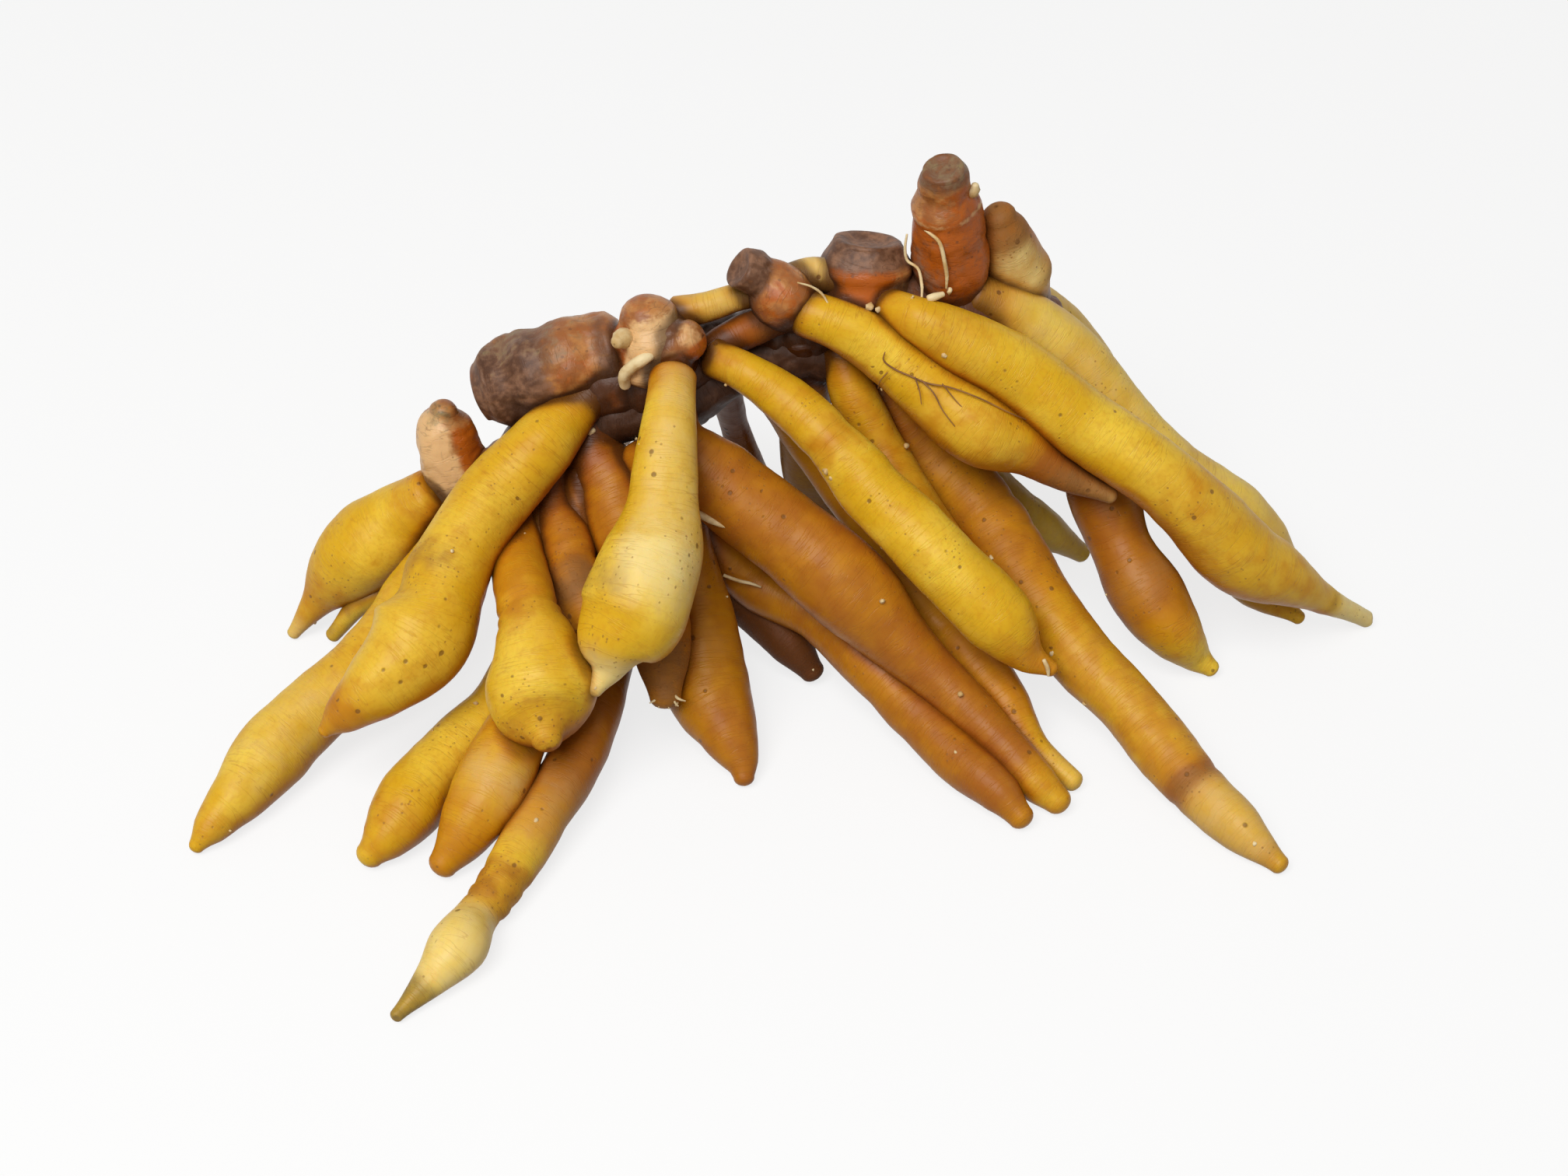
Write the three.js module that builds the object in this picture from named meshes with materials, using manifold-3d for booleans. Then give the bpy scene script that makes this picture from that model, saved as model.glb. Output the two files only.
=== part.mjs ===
// Fingerroot rhizome: one clump of finger-like storage roots hanging from a short, knobbly crown.
// Millimetres, +Z up. The origin is on the surface that the clump rests on, under the middle of its
// outline.

import * as THREE from 'three';
import { mergeVertices } from 'three/addons/utils/BufferGeometryUtils.js';
import Module from 'manifold-3d';

// --- driving dimensions --------------------------------------------------------------------------

const SIDES = { thick: 10, thin: 8 }; // flats round a limb
const THICK_FROM = 4.4; // widest radius from which a limb counts as thick
const RING_STEP = 6.5; // about one ring to this length of limb, and never fewer rings than stations
const ROUND_TIP = 0.8; // length of a rounded tip, as a share of its radius
const CUT_TIP = 0.1; // the same for a scarred, nearly flat end
const REST_HEIGHT = 0; // the clump rests on this level
const TRIM = { width: 240, depth: 60 }; // block that trims the fingers flush with the rest level
const WELD = 1e-4; // points closer than this are one point

const SKIN = { color: '#d9a441', roughness: 0.55, metalness: 0.0 };

// --- limbs ---------------------------------------------------------------------------------------
// A limb is a run of stations [x, y, z, radius], from where it leaves the crown to its free end.

// The rhizome proper: a bent ridge with a lower edge, a side branch to the left, and three bare
// links between neighbouring heads.
const CROWN = {
  ridge: [
    [-44.5, 20, 41, 5], [-34.5, 20, 43, 6], [-22.5, 20, 44.5, 6], [-11.5, 26, 47, 3.9],
    [1.5, 27.5, 47.5, 5], [17.5, 29, 49.5, 7], [29.5, 32, 47, 6], [35.5, 34, 45, 3],
  ],
  lower_ridge: [
    [-40, 20, 36, 4.5], [-30, 19, 38, 5.2], [-20.5, 19.6, 39.9, 5.2], [-15.8, 21.3, 41.2, 4.6],
    [-9, 24.5, 44, 3.4], [2, 27, 43, 4.5], [14, 30, 43, 5], [24, 32, 43, 4],
  ],
  left_branch: [[-38.5, 20, 40, 4], [-44, 17.2, 31.2, 4.2], [-52, 15.6, 24.2, 4.3]],
  link_near: [[-21, 22.5, 52.8, 2.4], [-16, 22.5, 53.9, 2.2], [-11, 24, 54.7, 2.1], [-6, 25.5, 54.9, 2.4]],
  link_far: [[-4.5, 25.5, 56.2, 2.4], [-0.5, 26.8, 56.7, 2.5], [4, 27, 56, 2.6]],
  link_under: [[-3.5, 24.5, 51, 2], [-8.5, 22.6, 50.6, 2.6], [-13, 21, 49.2, 2.5], [-16.5, 20, 47.6, 1.9]],
};

// Buds and stem stubs that stand on the crown.
const ROUND_HEADS = {
  side_bud: [
    [-52.5, 16, 23, 3.5], [-53.9, 17.5, 27.9, 4.7], [-55, 18.5, 32.7, 4.6], [-55.3, 19, 36.2, 3.6],
    [-55.2, 19, 38, 2],
  ],
  knob: [[-23.6, 16.9, 45.2, 5.6], [-23.6, 17.6, 49.2, 6], [-24, 18, 52.4, 5.6], [-24.2, 18.3, 54.6, 4.3]],
  knob_side: [[-22.5, 18.5, 49, 4.5], [-19.8, 16.2, 51.6, 4.4], [-18.2, 15.8, 52.4, 3.1]],
  far_bud: [
    [31.5, 34.5, 46, 4.8], [29.9, 33.4, 53, 5.1], [28.4, 32.3, 58.6, 4.6], [27.4, 31.4, 62.2, 3.5],
    [26.9, 31.2, 63.8, 2.5],
  ],
};
const CUT_HEADS = {
  lying_stub: [
    [-27.5, 20.5, 48, 5.8], [-35.3, 20, 46, 6.6], [-42, 20, 43.6, 7], [-46.3, 20.2, 41.6, 6.4],
    [-49, 20.2, 40.7, 4.6],
  ],
  small_stub: [[-1.5, 25.5, 51, 4.2], [-5, 24, 55.4, 4.9], [-8, 23.5, 58.3, 3.9], [-10.7, 22.8, 60.3, 3.2]],
  wide_stub: [[8.5, 29.5, 49, 5.5], [7.5, 28.8, 53.4, 6.9], [7.4, 29.5, 57.2, 6.8], [7.6, 30.3, 60.1, 5.2]],
  tall_bud: [
    [19.5, 29.5, 50, 5.4], [19.7, 28.5, 58, 5.5], [19.3, 28.5, 64, 5.4], [18.5, 28, 69.6, 4.4],
    [18, 26.9, 73.4, 3.4], [17.8, 26.6, 74.4, 3],
  ],
};

// Fingers on the near left of the crown.
const LEFT_FINGERS = {
  front_left: [
    [-30.6, 17, 44.6, 2.2], [-34.9, 15, 41.2, 3.6], [-39.8, 10.5, 38.1, 4.8], [-45.7, 5.5, 33.2, 5.5],
    [-50.4, -1, 29.4, 5.5], [-53.7, -7.5, 25.5, 6.5], [-56.2, -14.2, 21.6, 7.1], [-61.8, -20, 18.5, 5],
    [-67.1, -23.2, 15.1, 2.7], [-69.2, -24.3, 13.6, 1],
  ],
  far_left: [
    [-52.5, 15, 23, 3.5], [-58.5, 7.5, 15, 4.7], [-65.5, -5.5, 10.5, 5.1], [-72.7, -13, 7.8, 5.2],
    [-78.8, -20.2, 5.2, 5.4], [-82.4, -27.5, 3.7, 4], [-85.8, -33.1, 2.4, 2.3], [-87.3, -34.8, 1.2, 1.1],
  ],
  side_short: [
    [-57, 16, 25.6, 3.7], [-63.2, 16.8, 19.9, 5.4], [-68.6, 15.8, 15.2, 6.6], [-73.6, 14.5, 10, 5.3],
    [-77.6, 13, 5.5, 2.6], [-81.5, 11, 1, 1],
  ],
  side_thin: [[-54, 13, 21, 2], [-61.5, 14, 8, 1.8], [-69.2, 11.8, 7.4, 1.8], [-75, 9.6, 1.8, 1.1]],
  ball: [
    [-38.5, 19.5, 36, 3.5], [-43.5, 13.5, 28, 3.5], [-44, 3.5, 25, 4], [-41.2, -10, 25, 4.3],
    [-39.3, -17, 23, 5.9], [-38.5, -21.5, 20, 7.8], [-38, -26, 18, 6.4], [-37.2, -29.7, 17.3, 2.1],
  ],
  ringed: [
    [-37.5, 18, 39, 3], [-39, 10.5, 29, 3.2], [-36.7, 4.5, 25, 3.8], [-34.5, -3, 22, 4],
    [-31.5, -8.5, 18, 3.6], [-29.5, -12, 15, 1.8],
  ],
  low_left: [
    [-40.5, 15, 33, 3], [-40, 0, 18, 3.6], [-45.5, -10, 8.2, 3.8], [-51.8, -19.5, 5.2, 4.7],
    [-55.5, -26, 4.8, 5.1], [-58.1, -31.4, 4.5, 4.8], [-60.8, -35.6, 3.1, 3.3], [-62.4, -37.1, 2, 2.1],
  ],
  low_second: [
    [-34.5, 13.5, 32, 3], [-36, -1, 16.5, 3.7], [-39.5, -12, 12, 4.1], [-43.1, -23, 10, 4.8],
    [-45.5, -29.2, 7.8, 5.6], [-47.5, -33.3, 6.2, 4.8], [-50, -37.1, 3.7, 3.2], [-51.9, -39.1, 2.2, 2.1],
  ],
};

// Fingers under the middle of the crown.
const MIDDLE_FINGERS = {
  club: [
    [-20.5, 13, 49, 3.5], [-20.5, 6, 47, 3.6], [-21, 0, 43, 4.4], [-21.5, -4.5, 39, 5.1],
    [-22.4, -9, 35, 6.7], [-24.3, -14.5, 31.2, 7.6], [-25.9, -17.5, 28.3, 7.4], [-28.2, -20.3, 25.8, 5.3],
    [-29.2, -22.3, 23, 2.3], [-30.8, -24, 21.2, 1.2],
  ],
  behind_club: [
    [-32.5, 18.5, 39, 3.7], [-33, 15.5, 33.2, 4.9], [-30.2, 11.5, 29.2, 5.5], [-27, 4.5, 25, 5.3],
    [-23.5, -4.5, 22, 4.7], [-22.2, -10.5, 16, 4.2], [-21.6, -15.5, 12, 2.2],
  ],
  front_low: [
    [-24.5, 16, 32.5, 4.2], [-25.5, 12.5, 19, 4], [-28.5, 5, 13, 4.2], [-30.9, -4, 10, 4.1],
    [-32.5, -14.5, 8, 4.2], [-35.2, -25.2, 6, 4.1], [-38.7, -33.2, 5, 3.7], [-41.7, -40, 3.6, 3.5],
    [-44.4, -46, 3, 3.1], [-46.3, -49.5, 2.8, 2.9], [-48, -55.5, 3.6, 3.9], [-50.5, -59.4, 2.7, 2.5],
    [-53.1, -62.5, 1.7, 1.45], [-55, -64.8, 1.1, 0.9],
  ],
  drop: [
    [-24, 13.6, 37.2, 5.2], [-20, 7, 25, 4.2], [-18, 1.5, 16, 5.2], [-16.8, -5, 11, 6.2],
    [-15.5, -10, 7.4, 6.2], [-12.5, -15.8, 4.7, 4.2], [-10.6, -19.8, 2.5, 2.4], [-10.3, -21.5, 1.5, 1.5],
  ],
  shaded: [
    [-19.5, 11, 22, 3], [-15, 10.5, 13, 3.9], [-9.8, 8.6, 9, 3.8], [-3.5, 3, 5.8, 3.4],
    [-0.2, 0.8, 2.3, 1.9],
  ],
  thick: [
    [-21, 18.5, 43, 3.4], [-20.5, 11, 38.5, 4.6], [-13.5, 7.5, 33, 6], [-4.2, 2.5, 27.4, 6.2],
    [4.5, -2.5, 22, 6.6], [11.9, -7, 15.9, 4.9], [19.3, -12.5, 10.8, 3.7], [26.5, -19, 6.5, 3.4],
    [31.8, -24.4, 3.6, 3], [34.8, -26.8, 2.1, 2.1],
  ],
  under_thick: [
    [-23, 14.5, 31, 3.5], [-15.5, 10, 21, 4], [-8.5, 7.5, 14, 4], [0.8, 2.1, 12.1, 3.9],
    [8.2, -5.6, 9.6, 4.1], [14.7, -12.6, 6.4, 4.1], [21.1, -20.2, 4.3, 3.9], [26.5, -26.7, 3.5, 3.1],
    [29.2, -29.8, 2, 2],
  ],
};

// Fingers on the near right of the crown.
const RIGHT_FINGERS = {
  front_right: [
    [-15.5, 19, 48, 3], [-9.8, 15.5, 47.2, 2.9], [-3.9, 13, 43.9, 3.8], [2.1, 8.5, 40.5, 3.9],
    [7.6, 4, 35.2, 4.5], [14.1, -1, 31, 5], [20.8, -6, 25.8, 5.2], [26.9, -10, 21.2, 4.9],
    [31, -12.5, 17, 2.5], [34, -14, 16, 1.1],
  ],
  beside_front_right: [
    [3.8, 25, 46, 2.8], [5.9, 21.2, 39.4, 3.6], [10.4, 17, 31.7, 3.7], [14.3, 11, 26.8, 4.2],
    [19.5, 7, 20, 4.2], [23.5, 5, 13, 2.5], [25.5, 4, 9.5, 1.2],
  ],
  thin_right: [
    [-7, 24.5, 40, 3], [0.5, 22, 28, 3.4], [7.5, 16, 21, 3.4], [13, 11, 16, 3.4], [17.5, 3.5, 12, 3.7],
    [22.9, -3.5, 9.3, 4], [28.1, -10.9, 6.9, 3.6], [31.9, -17.2, 3.8, 2.4], [37.4, -22.3, 1.6, 1.6],
  ],
  upper_middle: [
    [-2.7, 22.4, 53.4, 3.3], [4, 20.5, 51.7, 3.8], [11, 19, 48, 4.4], [18, 15.5, 43, 5],
    [24, 12.9, 39.3, 5.3], [30.7, 12.9, 35.6, 4.2], [36.5, 11.8, 31.9, 2.5], [44, 10, 29, 1.2],
  ],
  rod: [
    [6, 26, 44, 3.5], [11, 25.5, 36, 4.5], [18, 23, 27, 5.3], [26, 15.5, 21, 5.6], [32.4, 4.5, 16.1, 5.2],
    [39.2, -5.6, 11.2, 5], [47, -14.8, 7.6, 4.5], [53.6, -24.6, 4.2, 4.3], [59.8, -33.3, 3.1, 3.4],
    [64.6, -38.4, 1.4, 1.4],
  ],
  mid_back: [
    [10, 30, 42, 3], [18.5, 28, 29, 3.5], [25, 28, 20.2, 4.2], [31.5, 27.8, 13.4, 3.6], [38, 28, 7.9, 3.1],
    [44, 30, 1.8, 1.5],
  ],
  right_drop: [
    [26.5, 32, 43, 3], [34, 31.5, 34, 3.6], [41, 24.5, 28, 4.1], [44.5, 18.5, 22, 5.5], [47, 13.4, 17, 4.6],
    [50.9, 7.8, 11.8, 5.5], [54.9, 4.1, 7.4, 4.7], [58.8, 3.2, 3, 2.6], [61.2, 2.2, 1.5, 1.3],
  ],
  upper_right: [
    [9.5, 26, 52.5, 3], [14.5, 19.5, 54, 3.3], [20.5, 18.5, 51, 4.5], [30.4, 17.1, 45.2, 5.2],
    [40.4, 13.8, 38.5, 5.3], [50, 10, 33.2, 5.1], [57.3, 8.2, 27, 5.6], [64, 7.6, 19.6, 6.1],
    [71, 8.2, 15.1, 4.6], [77.8, 9.8, 9.6, 2.5], [87.4, 14, 1.3, 1.3],
  ],
  upper_right_second: [
    [22, 27.5, 53, 3.5], [29.5, 28.5, 49, 4.3], [38, 28.5, 42, 4.9], [46.1, 25.5, 32.1, 5.2],
    [55.1, 22, 24.1, 5], [63.6, 21.5, 17.7, 5.5], [70.5, 21.4, 11.4, 4.5], [76.5, 22, 5, 2],
  ],
  upper_right_back: [
    [34, 34.2, 43, 3.2], [40.9, 36, 34, 4.3], [48.4, 34, 25, 4.9], [57.2, 30, 17.7, 4.9],
    [65.7, 29, 12, 5.1], [72.3, 28.5, 6.7, 4.1], [77.5, 27.5, 1.6, 1.9],
  ],
  under_upper_right: [
    [42, 34, 33, 3.2], [50, 34, 21, 3.8], [57, 32, 13, 4], [64.5, 26.5, 7.5, 4], [71, 19, 3.6, 3.4],
    [76.8, 14.3, 1.4, 1.2],
  ],
};

// Fingers on the far side of the crown, which prop it up behind.
const BACK_FINGERS = {
  slim: [
    [-14, 23, 44, 2.5], [-12.5, 33.5, 26, 2.2], [-10.5, 36, 16, 2.5], [-7.5, 38.5, 8, 2.1],
    [-5.5, 40, 1.5, 1.1],
  ],
  olive: [
    [-2, 24.5, 48, 2.8], [-1, 27.5, 38, 3.1], [-0.6, 31, 24, 4.6], [1.2, 33.5, 13, 4.9],
    [5.5, 34.5, 4.5, 3.2], [6.5, 35, 1.5, 1.5],
  ],
  back_far_left: [
    [-36, 23, 41, 3.4], [-38.5, 33, 34, 4.6], [-41, 43, 22, 5.4], [-43, 49, 11, 5], [-45, 52, 3.4, 3],
    [-46, 53, 0.6, 1.8],
  ],
  back_left_long: [
    [-20, 24, 45, 3.4], [-24, 37, 38, 4.4], [-29, 50, 27, 5.2], [-32.5, 58.5, 15, 5.4],
    [-33.5, 62.5, 4.6, 4], [-33.5, 64, 0.6, 2.2],
  ],
  back_left_short: [
    [-14, 24, 45, 3], [-17, 34, 40, 3.8], [-21, 42, 31, 4.4], [-23, 46, 21, 4], [-24, 47.5, 13, 1.6],
  ],
  back_middle: [
    [5.5, 30, 48, 3.5], [8, 43, 40, 4.8], [12.5, 54, 26, 6], [13, 60, 12, 5.6], [12, 62.5, 3.6, 3.2],
    [12, 63, 0.6, 2],
  ],
  back_middle_short: [
    [15, 33, 48, 3], [19, 43, 43, 4], [23.5, 51, 33, 4.8], [26, 55, 22, 4.2], [27.5, 56.5, 13.5, 1.6],
  ],
  back_right: [
    [26, 34, 47, 3.5], [32, 45, 40, 4.6], [41, 54, 27, 5.6], [48, 58, 14, 5.2], [51, 60, 3.8, 3.2],
    [52, 61, 0.6, 2],
  ],
};

// --- solids --------------------------------------------------------------------------------------

const wasm = await Module();
wasm.setup();

function pathThrough(stations) {
  return new THREE.CatmullRomCurve3(stations.map(([x, y, z]) => new THREE.Vector3(x, y, z)));
}

function ringCount(stations) {
  return Math.max(stations.length, Math.ceil(pathThrough(stations).getLength() / RING_STEP));
}

// Smooth radius along a limb, read at a share of its run from 0 to 1.
function radiusAlong(stations) {
  const girth = new THREE.SplineCurve(stations.map(([, , , radius], i) => new THREE.Vector2(i, radius)));
  return (share) => girth.getPoint(share).y;
}

// A turned profile of a straight limb: height is the share of its run, so that bend() can lay it
// along its path.
function turnedLimb(stations, rings, tipLength) {
  const radiusAt = radiusAlong(stations);
  const profile = [new THREE.Vector2(0, 0)];
  for (let i = 0; i <= rings; i++) profile.push(new THREE.Vector2(radiusAt(i / rings), i / rings));
  profile.push(new THREE.Vector2(0, 1 + tipLength));
  const widest = Math.max(...stations.map(([, , , radius]) => radius));
  return new THREE.LatheGeometry(profile, widest < THICK_FROM ? SIDES.thin : SIDES.thick);
}

// Where the first direction square to a path starts from. No limb leaves the crown along it.
const FIRST_ACROSS = new THREE.Vector3(0, 1, 0.3).normalize();

// Two directions square to the path at every ring, carried from ring to ring so that the limb
// doesn't twist.
function carriedFrames(path, rings) {
  const frames = [];
  let across = FIRST_ACROSS.clone();
  for (let i = 0; i <= rings; i++) {
    const along = path.getTangent(i / rings);
    across = across.clone().addScaledVector(along, -across.dot(along)).normalize();
    const over = new THREE.Vector3().crossVectors(across, along);
    frames.push({ point: path.getPoint(i / rings), along, across, over });
  }
  return frames;
}

// Lays a turned limb along the path through its stations. Height beyond 1 runs straight on from the
// last station.
function bend(geometry, stations, rings) {
  const frames = carriedFrames(pathThrough(stations), rings);
  const tipRadius = stations.at(-1)[3];
  const position = geometry.attributes.position;
  for (let i = 0; i < position.count; i++) {
    const share = position.getY(i);
    const frame = frames[Math.round(Math.min(share, 1) * rings)];
    const beyond = Math.max(share - 1, 0) * tipRadius;
    const place = frame.point.clone()
      .addScaledVector(frame.across, position.getX(i))
      .addScaledVector(frame.over, position.getZ(i))
      .addScaledVector(frame.along, beyond);
    position.setXYZ(i, place.x, place.y, place.z);
  }
}

// A closed three.js geometry as a solid that can be joined and cut.
function toSolid(geometry) {
  geometry.deleteAttribute('normal');
  geometry.deleteAttribute('uv');
  const welded = mergeVertices(geometry, WELD);
  const corners = [];
  for (let i = 0; i < welded.index.count; i += 3) {
    const [a, b, c] = [0, 1, 2].map((k) => welded.index.getX(i + k));
    if (a !== b && b !== c && c !== a) corners.push(a, b, c);
  }
  return new wasm.Manifold(new wasm.Mesh({
    numProp: 3,
    vertProperties: new Float32Array(welded.attributes.position.array),
    triVerts: new Uint32Array(corners),
  }));
}

function limb(stations, tipLength) {
  const rings = ringCount(stations);
  const geometry = turnedLimb(stations, rings, tipLength);
  bend(geometry, stations, rings);
  return toSolid(geometry);
}

// The block under the rest level.
function trimBlock() {
  const block = new THREE.BoxGeometry(TRIM.width, TRIM.width, TRIM.depth);
  block.translate(0, 0, REST_HEIGHT - TRIM.depth / 2);
  return toSolid(block);
}

// The outer body alone: a pocket shut in between roots is filled.
function outerBody(solid) {
  return solid.decompose().reduce((largest, body) => (body.volume() > largest.volume() ? body : largest));
}

function toGeometry(solid) {
  const mesh = solid.getMesh();
  const geometry = new THREE.BufferGeometry();
  geometry.setAttribute('position', new THREE.BufferAttribute(mesh.vertProperties, 3));
  geometry.setIndex(new THREE.BufferAttribute(mesh.triVerts, 1));
  geometry.computeVertexNormals();
  return geometry;
}

// --- the clump -----------------------------------------------------------------------------------

const roundEnded = [CROWN, ROUND_HEADS, LEFT_FINGERS, MIDDLE_FINGERS, RIGHT_FINGERS, BACK_FINGERS];
const limbs = [
  ...roundEnded.flatMap(Object.values).map((stations) => limb(stations, ROUND_TIP)),
  ...Object.values(CUT_HEADS).map((stations) => limb(stations, CUT_TIP)),
];
const grown = limbs.reduce((whole, next) => whole.add(next));
const rested = outerBody(grown.subtract(trimBlock()));

const rhizome = new THREE.Mesh(toGeometry(rested), new THREE.MeshStandardMaterial(SKIN));
rhizome.name = 'rhizome';

const clump = new THREE.Group();
clump.add(rhizome);

export default clump;
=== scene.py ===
# %% [markdown]
# # A clump of fingerroot
# Fingerroot is a small relative of ginger. Its rhizome is a knobbly crown with buds and stem scars on top,
# and a bunch of swollen, finger-like storage roots splaying down from it. This lesson builds the looks of
# one fresh clump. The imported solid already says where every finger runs, so the first step loads it as a
# fixed frame and notes its box.

import math
from collections import namedtuple
from functools import partial

import bmesh
import bpy
import numpy as np
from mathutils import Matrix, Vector, noise


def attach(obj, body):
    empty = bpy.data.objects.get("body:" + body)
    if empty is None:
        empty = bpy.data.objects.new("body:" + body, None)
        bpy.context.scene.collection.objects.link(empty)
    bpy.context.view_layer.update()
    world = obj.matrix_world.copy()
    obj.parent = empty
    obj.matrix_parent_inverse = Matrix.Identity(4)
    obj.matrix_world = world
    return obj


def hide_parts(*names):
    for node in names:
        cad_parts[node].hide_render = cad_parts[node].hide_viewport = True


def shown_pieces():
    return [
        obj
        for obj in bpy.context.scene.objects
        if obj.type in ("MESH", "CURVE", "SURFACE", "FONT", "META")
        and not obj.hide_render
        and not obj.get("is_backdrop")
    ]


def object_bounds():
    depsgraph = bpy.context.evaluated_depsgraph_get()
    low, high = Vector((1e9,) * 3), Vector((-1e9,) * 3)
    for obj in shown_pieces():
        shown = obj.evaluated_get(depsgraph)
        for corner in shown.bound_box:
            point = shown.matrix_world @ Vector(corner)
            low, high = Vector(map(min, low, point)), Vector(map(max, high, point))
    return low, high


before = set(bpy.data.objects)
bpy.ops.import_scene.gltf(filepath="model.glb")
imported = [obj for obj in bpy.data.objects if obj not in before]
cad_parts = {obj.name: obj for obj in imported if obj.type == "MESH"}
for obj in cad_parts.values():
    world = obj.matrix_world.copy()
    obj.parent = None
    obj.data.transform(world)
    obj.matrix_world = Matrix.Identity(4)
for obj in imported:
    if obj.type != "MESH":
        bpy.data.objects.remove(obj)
cad_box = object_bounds()
MM = 0.001  # the lists below are in millimetres, and Blender works in metres
print("solid from", [round(v, 4) for v in cad_box[0]], "to", [round(v, 4) for v in cad_box[1]])

# %% [markdown]
# ## The camera
# The clump is seen from in front and well above, as somebody standing at a table sees it. Putting the
# camera first means that every later step can be judged in the same view. A target point, a distance and a
# rise say where it stands more plainly than three coordinates would. A 50 mm lens keeps the near fingers
# from looking too large.

# %% Camera
AIM = Vector((-4.5, -9, 27)) * MM
CAMERA_DISTANCE = 310 * MM
CAMERA_RISE = math.radians(40)


def put_in_scene(name, data):
    made = bpy.data.objects.new(name, data)
    bpy.context.scene.collection.objects.link(made)
    return made


towards_camera = Vector((0, -math.cos(CAMERA_RISE), math.sin(CAMERA_RISE)))
camera = put_in_scene("camera", bpy.data.cameras.new("camera"))
camera.data.lens = 50
camera.data.clip_start = 0.01
camera.location = AIM + towards_camera * CAMERA_DISTANCE
camera.rotation_euler = (-towards_camera).to_track_quat("-Z", "Y").to_euler()
bpy.context.scene.camera = camera
print("camera at", [round(v, 3) for v in camera.location])

# %% [markdown]
# ## Writing materials as sums
# A skin is many thin layers: colour drifts, rings, pits, stains. Wiring each Math node by hand hides what
# is meant. Another way is one big node group, but this small class is easier to read. It wraps an output
# socket, so that `stain * 0.5` or `1 - pits` adds the Math node. Colours go through `blend`, as a Math node
# would turn them grey, and any other node comes from `node`, which takes its type, its settings, and the
# values or links of its sockets.

# %% A socket that can be added and multiplied
DOT_CORE = 0.55  # the share of a dot's radius that has its full colour


class Wire:
    def __init__(self, tree, socket=None):
        self.tree, self.socket = tree, socket

    def node(self, kind, settings=None, inputs=None, output=0):
        made = self.tree.nodes.new("ShaderNode" + kind)
        for name, value in (settings or {}).items():
            setattr(made, name, value)
        for place, value in (inputs or {}).items():
            if isinstance(value, Wire):
                self.tree.links.new(value.socket, made.inputs[place])
            else:
                made.inputs[place].default_value = value
        return Wire(self.tree, made.outputs[output])

    def math(self, operation, first, second):
        return self.node("Math", {"operation": operation}, {0: first, 1: second})

    def __add__(self, other):
        return self.math("ADD", self, other)

    def __sub__(self, other):
        return self.math("SUBTRACT", self, other)

    def __rsub__(self, other):
        return self.math("SUBTRACT", other, self)

    def __mul__(self, other):
        return self.math("MULTIPLY", self, other)

    __radd__, __rmul__ = __add__, __mul__

    def larger(self, other):
        return self.math("MAXIMUM", self, other)

    def step(self, low, high):
        """0 below low and 1 above high, with a soft edge between. Low may be the larger one."""
        return self.node("MapRange", {"interpolation_type": "SMOOTHSTEP"},
                         {"Value": self, "From Min": low, "From Max": high})

    def line(self, level, width):
        """1 where this value crosses a level, fading to 0 a width away from it."""
        away = self.node("Math", {"operation": "ABSOLUTE"}, {0: self - level})
        return away.step(width, 0.0)

    def blend(self, under, over):
        """The colour under where this is 0, and the colour over where it is 1."""
        return self.node("Mix", {"data_type": "RGBA"}, {0: self, 6: opaque(under), 7: opaque(over)}, output=2)

    def noise(self, scale, stretch=(1, 1, 1), detail=2):
        """Soft noise with scale features to the millimetre, each axis multiplied by its stretch first."""
        squeezed = self.node("VectorMath", {"operation": "MULTIPLY"}, {0: self, 1: stretch})
        return squeezed.node("TexNoise", None, {"Vector": squeezed, "Scale": scale, "Detail": detail})

    def dots(self, scale, size, share):
        """Round dots, one to each cell of 1/scale millimetres at most, kept in a share of the cells."""
        cells = self.node("TexVoronoi", None, {"Vector": self, "Scale": scale})
        luck = Wire(self.tree, cells.socket.node.outputs["Color"])
        chance = luck.node("SeparateColor", None, {"Color": luck}, output="Green")
        return cells.step(size, size * DOT_CORE) * (share - chance).step(0.0, 0.02)


def opaque(colour):
    return colour if isinstance(colour, Wire) or len(colour) == 4 else (*colour, 1)


# %% A material and its inputs
def new_material(name):
    """An empty material's Principled shader and its tree as a Wire to start expressions from."""
    material = bpy.data.materials.new(name)
    material.use_nodes = True
    return material, material.node_tree.nodes["Principled BSDF"], Wire(material.node_tree)


def colour_times(colour, tint):
    """A colour with each of its parts multiplied by a number."""
    return colour.node("VectorMath", {"operation": "MULTIPLY"}, {0: colour, 1: tint})


def feed(shader, name, wire):
    wire.tree.links.new(wire.socket, shader.inputs[name])


def feed_bump(shader, height, strength, distance):
    inputs = {"Height": height, "Strength": strength, "Distance": distance}
    feed(shader, "Normal", height.node("Bump", None, inputs, output="Normal"))


def set_inputs(shader, values):
    for name, value in values.items():
        shader.inputs[name].default_value = value


# %% [markdown]
# ## What a material reads
# Rings and fibres follow a bent finger, so object coordinates alone would cut across them. A UV map would
# follow it, but has a seam along each finger. Instead every vertex keeps three attributes. `straight` is
# where the point lay before the finger was bent, in millimetres, so a pattern in it wraps round with no
# seam. `tone` says how far the skin there turns tan, pale, scarred or mossy grey-green, which the modelling
# code paints with soft marks. Its tan also holds painted shade on the side turned from the light, and its
# scar tone holds painted shade on parts that lie in shade. The third attribute is painted shade too, high
# in the creases between neighbours and where many crowd close.

# %% Attributes as wires
TONES = ("tan", "pale", "scar", "moss")
Tone = namedtuple("Tone", TONES)


def straight_place(wire):
    return wire.node("Attribute", {"attribute_name": "straight"}, output="Vector")


def read_painted_shade(wire):
    return wire.node("Attribute", {"attribute_name": "shelter"}, output="Fac")


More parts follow.
